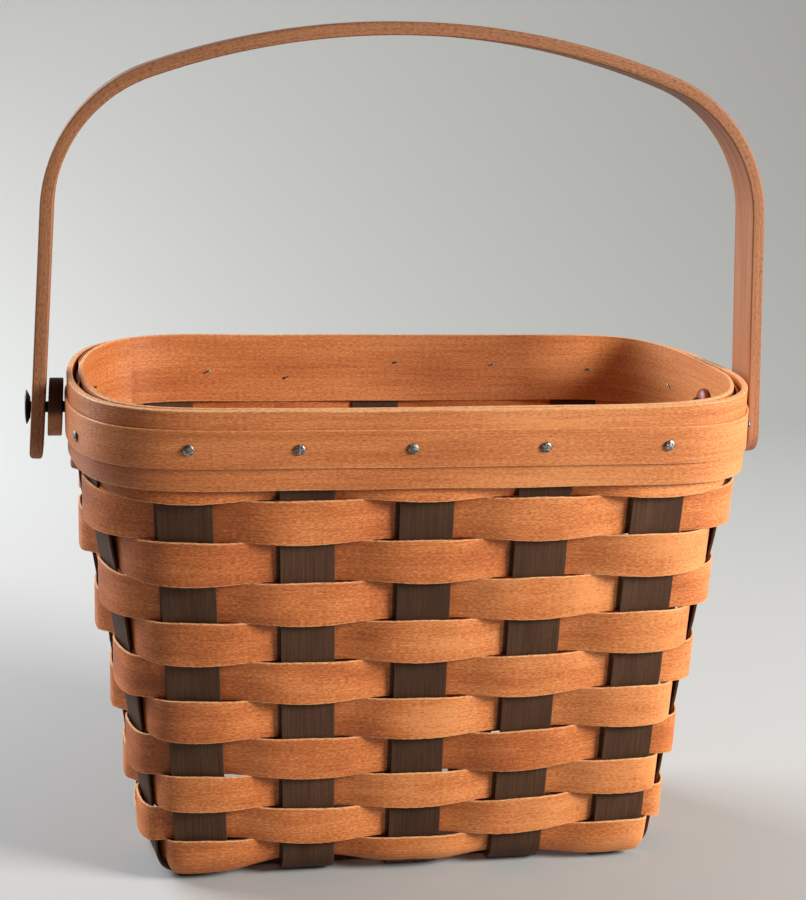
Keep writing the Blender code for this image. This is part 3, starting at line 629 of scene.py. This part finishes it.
rim_strips = {
    "rim_inner_band": dict(low=0.2085, high=0.2442, tilt=0.024, inner=-0.00395, outer=-0.00205,
                           lap=(13.375, 14.0), ease=0.0004, wear=0.9, tone=0.15),
    "rim_outer_band": dict(low=0.2068, high=0.24425, tilt=0.0125, inner=0.00225, outer=0.00505,
                           lap=(8.75, 9.75), ease=0.0004, wear=0.9, tone=0.07),
    "rim_trim_strip": dict(low=0.2168, high=0.2348, tilt=0.0, inner=0.00515, outer=0.00625,
                           lap=(13.625, 14.5), ease=0.00025, wear=0.5, tone=0.07),
}
inner_band_fit = np.array([3, 8, 8, 8, 8, 8, 4, 14, 15, 12, 12, 12, 12, 12, 12, 14]) * 0.0001
rim_corner_fit = np.append(np.zeros(6), [0.0010] + [0.0] * 9)
band_rise = np.append(np.zeros(4), [0.0004, 0.0012, 0.0024, 0.0008] + [0.0] * 8)
lap_end_thickness = 0.0004
lap_joint = 0.06
strip_gap = 0.0002
rim_grain_step = 3.1
shiny_turn = 0.42
shiny_spread = 0.22

rim_wood = stained_wood(
    "orange brown rim maple",
    deep=(0.33, 0.085, 0.018), middle=(0.54, 0.165, 0.044), pale=(0.72, 0.285, 0.098),
    worn=(0.80, 0.44, 0.21), fibre_scale=(22, 600, 1), cloud_scale=(9, 48, 1), cloud_share=1.3,
    fibre_share=1.0, fleck_share=1.9, pore_share=0.6, saw_share=0.12,
    roughness=0.53, gloss=0.38, relief=0.00012)

# The tacks' places on the wall, each from the middle of an upright over half its width. The
# trim strip splits a little along the grain beside each of them
tack_height = 0.2258
tack_front_shares = (0.28, -0.31, -0.68, -0.24, -0.04)
tack_back_shares = (1.63, 0.50, 0.80, 0.80, 0.50)
tack_end_shares = (-0.48, 0.48)
tack_turns = {}
for number in range(5):
    tack_turns[f"tack_front_{number + 1}"] = 1 + number + upright_half_turn * tack_front_shares[number]
    tack_turns[f"tack_back_{number + 1}"] = 13 - number - upright_half_turn * tack_back_shares[number]
tack_turns["tack_left_1"] = 0 - upright_half_turn * tack_end_shares[0]
tack_turns["tack_left_2"] = 14 - upright_half_turn * tack_end_shares[1]
tack_turns["tack_right_1"] = 6 + upright_half_turn * tack_end_shares[0]
tack_turns["tack_right_2"] = 8 + upright_half_turn * tack_end_shares[1]
split_half_length = 0.0042
split_half_width = 0.00022
split_depth = 0.0005
tack_zone = 0.09

for name, strip in rim_strips.items():
    height, thickness = strip["high"] - strip["low"], strip["outer"] - strip["inner"]
    across, out, around = eased_section(height, thickness, strip["ease"], 12, 4)
    start, end = strip["lap"]
    turn = np.linspace(start, end + 16, 900)
    outer_face = out > thickness / 2 - 1e-9
    if name == "rim_trim_strip":
        # Finer steps round each tack, and five rows close together at the splits' height
        near = np.add.outer(list(tack_turns.values()), (-16, 0, 16))
        near = np.add.outer(near, np.linspace(-tack_zone, tack_zone, 61)).ravel()
        turn = np.unique(np.concatenate([turn, near[(near > start) & (near < end + 16)]]))
        middle_row = tack_height - (strip["low"] + strip["high"]) / 2
        extra = middle_row + split_half_width * np.array([1.8, 0.9, 0.0, -0.9, -1.8])
        keep = ~(outer_face & (np.abs(across - middle_row) < split_half_width * 4))
        place = np.flatnonzero(outer_face & (across < extra[-1]))[0]
        before = np.flatnonzero(keep[:place])
        after = place + np.flatnonzero(keep[place:])
        across = np.concatenate([across[before], extra, across[after]])
        out = np.concatenate([out[before], np.full(5, thickness / 2), out[after]])
        outer_face = out > thickness / 2 - 1e-9
        around = length_round(across, out)
    lap = turn[:, None]
    # The first end grows to full thickness over the lap, and the last end thins out over it
    grown = np.clip((lap - start) / (end - start), 0, 1)
    worn_in = np.clip((lap - start - 16) / (end - start), 0, 1)
    grown, worn_in = grown**2 * (3 - 2 * grown), worn_in**2 * (3 - 2 * worn_in)
    rise = thickness - 2 * lap_end_thickness - strip_gap
    outer = strip["inner"] + lap_end_thickness + rise * grown
    outer = np.where(lap >= end, strip["outer"], outer)
    inner = lap_end_thickness + strip_gap + rise * worn_in
    inner = strip["inner"] + inner * np.clip((lap - start - 16) / lap_joint + 1, 0, 1)
    face_share = (out[None, :] + thickness / 2) / thickness
    outwards = inner + (outer - inner) * face_share
    outwards = outwards + ring_curve(lap, rim_corner_fit)
    if name == "rim_inner_band":
        outwards = outwards + ring_curve(lap, inner_band_fit)
    centre = on_wall(turn, tack_height)
    level = (strip["low"] + strip["high"]) / 2 + across[None, :] + strip["tilt"] * centre[1][:, None]
    level = level + wavy(turn, luck, 1, 14, 0.00012)[:, None]
    if name != "rim_trim_strip":
        level = level + ring_curve(lap, band_rise) * (across[None, :] / height + 0.5)
    split = np.zeros((len(turn), len(across)))
    if name == "rim_trim_strip":
        beside = np.clip(1 - np.abs(across - middle_row) / split_half_width, 0, 1) * outer_face
        for at in tack_turns.values():
            x, y, _, _ = on_wall(np.array(at), tack_height)
            far = np.hypot(centre[0] - x, centre[1] - y) / split_half_length
            split = np.maximum(split, np.clip(1 - far**2, 0, 1)[:, None] * beside[None, :])
        outwards = outwards - split * split_depth
    points = wall_point(lap, level, outwards, bend_radius)
    along = length_along(points[:, 0]) + rim_grain_step * len(name)
    edge = strip["wear"] * worn_edge(across, height, strip["ease"])[None, :]
    # Painted light: the rim is painted paler towards the basket's right, as if lit from the right
    tone = strip["tone"] + wavy(turn, luck, 1, 10, 0.05)[:, None] + 0.6 * painted_light_slope * points[:, :, 0]
    beside_shine = np.abs((lap - shiny_turn + 8) % 16 - 8)
    shine = np.exp(-((beside_shine / shiny_spread) ** 2))
    piece(name.replace("rim_", "bent_"), points, along, around, rim_wood, "rim_hardwood",
          [name], edge=edge, tone=tone, split=np.clip(split * 1.6, 0, 1), finish=shine)

# Tacks
# Fourteen small steel tacks go through trim, bands and weave. The heads are slightly domed and
# dull grey, and the points are clenched over inside the inner band.

tack_head_radius = 0.0025
tack_head_height = 0.0011
tack_shank_half = 0.0006
clench_length = 0.0024
clench_thickness = 0.0004

shop = Workshop("dull tack steel")
place = shop.node("ShaderNodeTexCoord").outputs["Object"]
blotch = shop.noise(place, (1100, 1100, 1100), 3.0, 0.6)
scratch = shop.noise(place, (300, 300, 3800), 2.0)
colour = shop.ramp(blotch, (0.36, (0.08, 0.073, 0.066)), (0.5, (0.26, 0.245, 0.23)),
                   (0.62, (0.60, 0.58, 0.55)))
colour = shop.blend(shop.between(scratch, 0.54, 0.62, 0.0, 0.8), colour, (0.02, 0.016, 0.014))
shop.connect("Base Color", colour)
shop.connect("Roughness", shop.between(blotch, 0.3, 0.7, 0.34, 0.55))
shop.shader.inputs["Metallic"].default_value = 1.0
shop.bump(blotch, 0.8, 0.0002)
tack_steel = shop.material


def wall_axes(turn, height):
    """Place on the wall's middle surface, and the axes along, up and out of it."""
    place = wall_point(np.array(turn), np.array(height), np.array(0.0), bend_radius)
    lifted = wall_point(np.array(turn), np.array(height + 0.0005), np.array(0.0), bend_radius)
    _, _, normal_x, normal_y = on_wall(np.array(turn), height)
    up = (lifted - place) / np.linalg.norm(lifted - place)
    along = np.cross(up, (normal_x, normal_y, 0))
    along /= np.linalg.norm(along)
    return place, along, up, np.cross(along, up)


def turned_rings(profile, sides):
    """Rings about an axis from (radius, height) pairs: radius along a circle, height up it."""
    profile = np.array(profile)
    angle = np.arange(sides) * 2 * math.pi / sides
    radius, height = profile[:, :1], profile[:, 1:]
    return np.stack([radius * np.cos(angle), radius * np.sin(angle), height + 0 * angle], -1)


tack_seat = rim_strips["rim_trim_strip"]["outer"] + strip_gap
tack_inside_face = rim_strips["rim_inner_band"]["inner"]
tack_sides = 18
tack_angle = np.arange(tack_sides) * 2 * math.pi / tack_sides
tack_lifts = {"tack_left_1": -0.0030, "tack_back_1": 0.0012, "tack_back_2": -0.0028,
              "tack_back_3": 0.0052, "tack_back_4": 0.0046, "tack_back_5": 0.0018}
head_profile = ((0.08, 1.0), (0.45, 0.96), (0.74, 0.82), (0.92, 0.58), (1.0, 0.38), (1.0, 0.12))
for name, turn in tack_turns.items():
    place, along_wall, up, outward = wall_axes(turn, tack_height + tack_lifts.get(name, 0.0))
    tilt = luck.uniform(-0.12, 0.12, 2)
    fit = ring_curve(np.array(turn), rim_corner_fit)
    tack_inside = tack_inside_face + fit + ring_curve(np.array(turn), inner_band_fit)
    dome = [(tack_head_radius * reach, tack_seat + fit + tack_head_height * rise)
            for reach, rise in head_profile]
    shank = [(tack_head_radius * 0.94, tack_seat + fit), (tack_shank_half * 1.3, tack_seat + fit),
             (tack_shank_half * 1.1, tack_inside), (tack_shank_half, tack_inside - clench_thickness)]
    rings = turned_rings(dome + shank, tack_sides)
    # The head sits a little askew and has the marks of the hammer
    head = rings[:7]
    head[:, :, 2] += (head[:, :, 0] * tilt[0] + head[:, :, 1] * tilt[1]) * 0.5
    corners = np.cos(tack_angle * luck.integers(5, 8) + luck.uniform(0, 6))
    head[:, :, :2] *= 1 + 0.035 * corners[None, :, None]
    head[:4, :, 2] -= 0.00012 * corners[None, :] * np.array([0.2, 1, 1, 0.6])[:, None]
    direction = luck.uniform(-0.5, 0.5) + (math.pi if luck.uniform() < 0.5 else 0)
    # The point bends over along a quarter circle and thins out
    steps = np.linspace(0, 1, 6)[1:, None]
    bent = steps * math.pi / 2
    half = tack_shank_half * (1 - 0.55 * steps) * np.where(steps < 1, 1.0, 0.5)
    thin = half * (1 - 0.4 * steps)
    reach = (clench_thickness + steps * clench_length) * np.sin(bent)
    reach = reach + thin * np.cos(tack_angle) * np.cos(bent)
    depth = thin * np.cos(tack_angle) * np.sin(bent) - clench_thickness * (1 + np.sin(bent)) + tack_inside
    side = half * np.sin(tack_angle)
    clench = np.stack([reach * math.cos(direction) - side * math.sin(direction),
                       reach * math.sin(direction) + side * math.cos(direction), depth], -1)
    rings = np.concatenate([rings, clench])
    world = place + rings[..., :1] * along_wall + rings[..., 1:2] * up + rings[..., 2:] * outward
    piece(name.replace("tack", "steel_tack"), world, np.arange(len(rings)) * 0.001,
          np.arange(tack_sides + 1) * 0.001, tack_steel, "tack_steel", [name])

# Pivots
# At each end a turned wooden disc stands between rim and handle, a dark domed pin goes through
# everything, and a small red-brown domed cap holds it inside. The right pin's head is the
# smaller and flatter one.

pivot_height = 0.2258
spacer_inner = 0.167216
spacer_thickness = 0.0066
spacer_lean = math.radians(2.4)
spacer_radius = 0.014
pin_head_inner = 0.182446
pin_head_radius = 0.0082
pin_head_height = 0.0025
right_head_reach = 0.6
right_head_rise = 0.5
pin_radius = 0.0027
cap_face = 0.1569
cap_radius = 0.0074
cap_height = 0.0044
pin_end = 0.150792
turned_sides = 64
turned_grain_step = 0.3
painted_shade_contrast = 0.45
painted_shade_blend = 0.002


def rounded_profile(radius, low, high, ease, dome=0.0, steps=5):
    """Profile of a turned button: flat below, eased rim, and a dome of the given height."""
    rounding = np.linspace(0, math.pi / 2, steps)
    lower = [(radius - ease + ease * math.sin(a), low + ease - ease * math.cos(a)) for a in rounding]
    if dome:
        doming = np.linspace(0.05, math.pi / 2 - 0.06, 2 * steps)
        upper = [(radius * math.cos(a), high - dome + dome * math.sin(a)) for a in doming]
    else:
        upper = [(radius - ease + ease * math.cos(a), high - ease + ease * math.sin(a)) for a in rounding]
    return [(radius * 0.3, low)] + lower + upper


spacer_wood = stained_wood(
    "dark brown turned wood",
    deep=(0.040, 0.013, 0.006), middle=(0.15, 0.050, 0.016), pale=(0.44, 0.165, 0.052),
    worn=(0.26, 0.12, 0.05), fibre_scale=(500, 1200, 1), cloud_scale=(90, 90, 1),
    roughness=0.50, gloss=0.3)
cap_wood = stained_wood(
    "red brown lacquered wood",
    deep=(0.14, 0.022, 0.010), middle=(0.27, 0.050, 0.022), pale=(0.42, 0.10, 0.045),
    worn=(0.45, 0.14, 0.07), fibre_scale=(200, 900, 1), cloud_scale=(90, 90, 1),
    roughness=0.36, gloss=0.5)
shop = Workshop("black pin metal")
place = shop.node("ShaderNodeTexCoord").outputs["Object"]
blotch = shop.noise(place, (500, 500, 500), 4.0, 0.6)
shop.connect("Base Color", shop.ramp(blotch, (0.3, (0.006, 0.005, 0.004)), (0.6, (0.018, 0.014, 0.012)),
                                     (0.8, (0.035, 0.028, 0.024))))
shop.connect("Roughness", shop.between(blotch, 0.3, 0.7, 0.35, 0.5))
shop.shader.inputs["Specular IOR Level"].default_value = 0.3
shop.bump(blotch, 0.4, 0.0001)
pin_metal = shop.material

turned_pieces = (
    ("spacer", spacer_wood, "spacer_hardwood", "pivot_spacer",
     rounded_profile(spacer_radius, spacer_inner, spacer_inner + spacer_thickness, 0.0005)),
    ("pin", pin_metal, "pin_metal", "pivot_pin",
     [(pin_radius * 0.5, pin_end), (pin_radius, pin_end + 0.0004), (pin_radius, pin_head_inner),
      (pin_head_radius * 0.62, pin_head_inner), (pin_head_radius * 0.97, pin_head_inner + 0.0014),
      (pin_head_radius, pin_head_inner + 0.0017), (pin_head_radius * 0.97, pin_head_inner + 0.0020),
      (pin_head_radius * 0.7, pin_head_inner + 0.0024),
      (pin_head_radius * 0.1, pin_head_inner + pin_head_height)]),
    ("cap", cap_wood, "cap_red_wood", "pivot_cap",
     [(r, cap_face - h) for r, h in rounded_profile(cap_radius, 0, cap_height, 0.0006, 0.0030)]),
)
for side, direction in (("left", -1), ("right", 1)):
    for label, material, slot, node, profile in turned_pieces:
        rings = turned_rings(profile, turned_sides)
        if node == "pivot_pin" and side == "right":
            rings[3:, :, :2] *= right_head_reach
            rings[3:, :, 2] += (right_head_rise - 1) * (rings[3:, :, 2] - pin_head_inner)
        lean = math.tan(spacer_lean) if label == "spacer" else 0.0
        world = np.stack([direction * (rings[..., 2] - lean * rings[..., 1]), rings[..., 0],
                          pivot_height + rings[..., 1]], -1)
        along = length_along(np.array(profile)) + (turned_grain_step if side == "right" else 0.0)
        around = np.arange(turned_sides + 1) * 2 * math.pi * np.max(profile, axis=0)[0] / turned_sides
        # Painted shade: the upper half of each disc is painted darker than the lower half, as if in shadow
        tone = -painted_shade_contrast * np.clip(rings[..., 1] / painted_shade_blend, -1, 1) if label == "spacer" else 0.0
        piece(f"turned_{label}_{side}", world, along, around, material, slot, [f"{node}_{side}"], tone=tone)

# Handle
# One strip of maple, 25 by 6 mm, steamed and bent to a wide arch with tight shoulders. The
# edges are eased, the ends are rounded, and it swings on the two pins.

handle_width = 0.0254
handle_thickness = 0.0062
handle_ease = 0.0009
handle_end_round = 0.0040
handle_rise = 0.182
handle_lean = math.radians(3.4)
handle_crown_radius = 0.365
handle_shoulder_radius = 0.072
handle_ear_drop = 0.0254
handle_half_span = 0.178553
# Painted light on the right arm's inner face, and painted shade on the crown
painted_arm_light = 0.6
painted_arm_light_reach = 0.16
painted_crown_shade = 0.20

handle_wood = stained_wood(
    "brown handle maple",
    deep=(0.10, 0.033, 0.013), middle=(0.26, 0.092, 0.037), pale=(0.44, 0.18, 0.085),
    worn=(0.46, 0.22, 0.11), fibre_scale=(9, 900, 1), cloud_scale=(7, 160, 1), cloud_share=1.1,
    fibre_share=1.5, fleck_share=0.7, pore_share=0.45, saw_share=0.05,
    roughness=0.54, gloss=0.22, relief=0.00009)


def handle_line():
    """Right half of the handle's middle line, from the ear's end to the crown, in x and z.

    A straight arm that leans in, a wide arc about the middle for the crown, and a shoulder arc
    that touches both. With it come the direction out of the handle and half the width, which
    follows a half circle at the ear.
    """
    rise = np.array([-math.sin(handle_lean), math.cos(handle_lean)])
    inward = np.array([-rise[1], rise[0]])
    crown = pivot_height + handle_rise - handle_crown_radius
    hub = np.array([handle_half_span, pivot_height - crown]) + inward * handle_shoulder_radius
    reach = handle_crown_radius - handle_shoulder_radius
    along = hub @ rise
    hub = hub + rise * (-along + math.sqrt(along**2 - hub @ hub + reach**2))
    ear = np.array([handle_half_span, pivot_height])
    rounding = np.linspace(0.06, 1, 14) * math.pi / 2
    drops = handle_ear_drop - handle_width / 2 * (1 - np.cos(rounding))
    top = (hub - inward * handle_shoulder_radius + np.array([0, crown]) - ear) @ rise
    climbs = np.concatenate([-drops, np.linspace(-drops[-1], top, 40)[1:-1]])
    arm = ear + climbs[:, None] * rise
    finish = math.atan2(hub[1], hub[0])
    turned = np.linspace(handle_lean, finish, 60)
    outward = np.stack([np.cos(turned), np.sin(turned)], -1)
    shoulder = hub + np.array([0, crown]) + handle_shoulder_radius * outward
    sweep = np.linspace(finish, math.pi / 2, 60)[1:]
    spread = np.stack([np.cos(sweep), np.sin(sweep)], -1)
    top_arc = np.array([0, crown]) + handle_crown_radius * spread
    line = np.concatenate([arm, shoulder, top_arc])
    outwards = np.concatenate([np.broadcast_to(-inward, arm.shape), outward, spread])
    halves = np.full(len(line), handle_width / 2)
    halves[: len(rounding)] *= np.sin(rounding)
    return line, outwards, halves


line, outwards, halves = handle_line()
line = np.concatenate([line, line[-2::-1] * (-1, 1)])
outwards = np.concatenate([outwards, outwards[-2::-1] * (-1, 1)])
halves = np.concatenate([halves, halves[-2::-1]])
across, out, around = eased_section(handle_width, handle_thickness, handle_ease, 6, 4)
narrowed = across[None, :] * (halves / (handle_width / 2))[:, None]
end_height = (handle_ear_drop + (line[:, 1] - pivot_height) / math.cos(handle_lean)) / handle_end_round
thinned = out[None, :] * np.sqrt(1 - np.clip(1 - end_height, 0, 0.99) ** 2)[:, None]
points = np.stack([line[:, :1] + outwards[:, :1] * thinned, narrowed,
                   line[:, 1:] + outwards[:, 1:] * thinned], -1)
along = length_along(line)
edge = 0.5 * worn_edge(across, handle_width, handle_ease)[None, :]
# Painted light and shade: the inner face of the right arm is painted paler, as if lit from the left, and
# the crown is painted darker, as if in shade
inner_face = out[None, :] < -0.3 * handle_thickness
painted_light_and_shade = painted_arm_light * np.exp(-((along / painted_arm_light_reach) ** 2))[:, None] * inner_face
painted_light_and_shade = painted_light_and_shade - painted_crown_shade * (line[:, 1:] / line[:, 1].max()) ** 4
piece("bent_handle", points, along, around, handle_wood, "handle_hardwood", ["handle"], body="swing_handle",
      edge=edge, tone=wavy(np.linspace(0, 16, len(line)), luck, 1, 8, 0.05)[:, None] + painted_light_and_shade)

# Floor and backdrop
# A wide sheet of pale grey paper lies flat under the basket and curves up behind it. It is
# painted a little darker in front, as painted shade.

sweep_half_width = 3.0
sweep_front = -2.5
sweep_bend_start = 0.9
sweep_bend_radius = 0.9
sweep_top = 2.6

bend = np.linspace(0, math.pi / 2, 33)[1:]
bend = sweep_bend_radius * np.stack([np.sin(bend), 1 - np.cos(bend)], -1) + (sweep_bend_start, 0)
path = np.concatenate([[(sweep_front, 0), (sweep_bend_start, 0)], bend,
                       [(sweep_bend_start + sweep_bend_radius, sweep_top)]])
sides = np.array([-sweep_half_width, sweep_half_width])
grid = np.stack(np.broadcast_arrays(sides[None, :], path[:, :1], path[:, 1:]), -1).reshape(-1, 3)
mesh = bpy.data.meshes.new("paper_sweep")
corners = np.arange(len(path) - 1)[:, None] * 2 + (0, 1, 3, 2)
mesh.from_pydata(grid.tolist(), [], corners.tolist())
mesh.shade_smooth()
shop = Workshop("pale grey paper")
place = shop.node("ShaderNodeTexCoord").outputs["Object"]
axes = shop.node("ShaderNodeSeparateXYZ", {0: place})
# Painted shade: the paper is painted darker towards the front and paler towards the back
shade = shop.between(axes.outputs["Y"], -0.3, 1.0)
shop.connect("Base Color", shop.ramp(shade, (0.0, (0.435, 0.43, 0.42)), (0.3, (0.45, 0.45, 0.45)),
                                     (1.0, (0.53, 0.53, 0.52))))
shop.shader.inputs["Roughness"].default_value = 0.9
shop.shader.inputs["Specular IOR Level"].default_value = 0.2
mesh.materials.append(shop.material)
sweep = bpy.data.objects.new("paper_sweep", mesh)
bpy.context.scene.collection.objects.link(sweep)

# Lamps
# A soft warm lamp stands on the right, a little in front, and a wider cool one on the left, a
# little behind. The sky is dim and even, and only the camera sees it pale.


def softbox(name, place, target, size, power, colour):
    """A square lamp at a place, facing a target."""
    data = bpy.data.lights.new(name, "AREA")
    data.shape = "SQUARE"
    data.size = size
    data.energy = power
    data.color = colour
    lamp = bpy.data.objects.new(name, data)
    bpy.context.scene.collection.objects.link(lamp)
    away = np.array(place, float) - np.array(target, float)
    back = away / np.linalg.norm(away)
    right = np.cross((0, 0, 1), back)
    right /= np.linalg.norm(right)
    up = np.cross(back, right)
    turned = np.eye(4)
    turned[:3, :3] = np.stack([right, up, back], -1)
    turned[:3, 3] = place
    lamp.matrix_world = Matrix(turned.tolist())


softbox("key", (1.212, -0.700, 0.744), (0, 0, 0.15), 0.5, 39, (1.0, 0.97, 0.92))
softbox("window", (-1.06, 0.75, 0.90), (0, 0, 0.12), 1.1, 36, (0.95, 0.98, 1.0))
sky_light = 0.07
sky_seen = 0.55
world = bpy.data.worlds.new("studio")
bpy.context.scene.world = world
world.use_nodes = True
tree = world.node_tree
sky = tree.nodes["Background"]
sky.inputs["Color"].default_value = (0.97, 0.98, 1.0, 1)
seen = tree.nodes.new("ShaderNodeLightPath")
strength = tree.nodes.new("ShaderNodeMapRange")
strength.inputs["To Min"].default_value = sky_light
strength.inputs["To Max"].default_value = sky_seen
tree.links.new(seen.outputs["Is Camera Ray"], strength.inputs[0])
tree.links.new(strength.outputs[0], sky.inputs["Strength"])

# Camera
# The photograph's view, from the left and a little above. The pitch is downwards, and the roll
# lifts the camera's right side.

camera_place = (-0.14778, -0.81861, 0.40968)
camera_yaw = 0.1785
camera_pitch = 0.2442
camera_roll = 0.0327
focal_pixels = 1708.92
frame_pixels = 900

data = bpy.data.cameras.new("camera")
data.sensor_width = 36.0
data.lens = focal_pixels * data.sensor_width / frame_pixels
data.clip_start = 0.02
camera = bpy.data.objects.new("camera", data)
bpy.context.scene.collection.objects.link(camera)
level_right = np.array([math.cos(camera_yaw), -math.sin(camera_yaw), 0])
level_ahead = np.array([math.sin(camera_yaw), math.cos(camera_yaw), 0])
up = np.array([0, 0, 1.0])
ahead = level_ahead * math.cos(camera_pitch) - up * math.sin(camera_pitch)
raised = up * math.cos(camera_pitch) + level_ahead * math.sin(camera_pitch)
right = level_right * math.cos(camera_roll) + raised * math.sin(camera_roll)
raised = -level_right * math.sin(camera_roll) + raised * math.cos(camera_roll)
pose = np.eye(4)
pose[:3, :3] = np.stack([right, raised, -ahead], -1)
pose[:3, 3] = camera_place
camera.matrix_world = Matrix(pose.tolist())
bpy.context.scene.camera = camera
bpy.context.scene.view_settings.view_transform = "Standard"
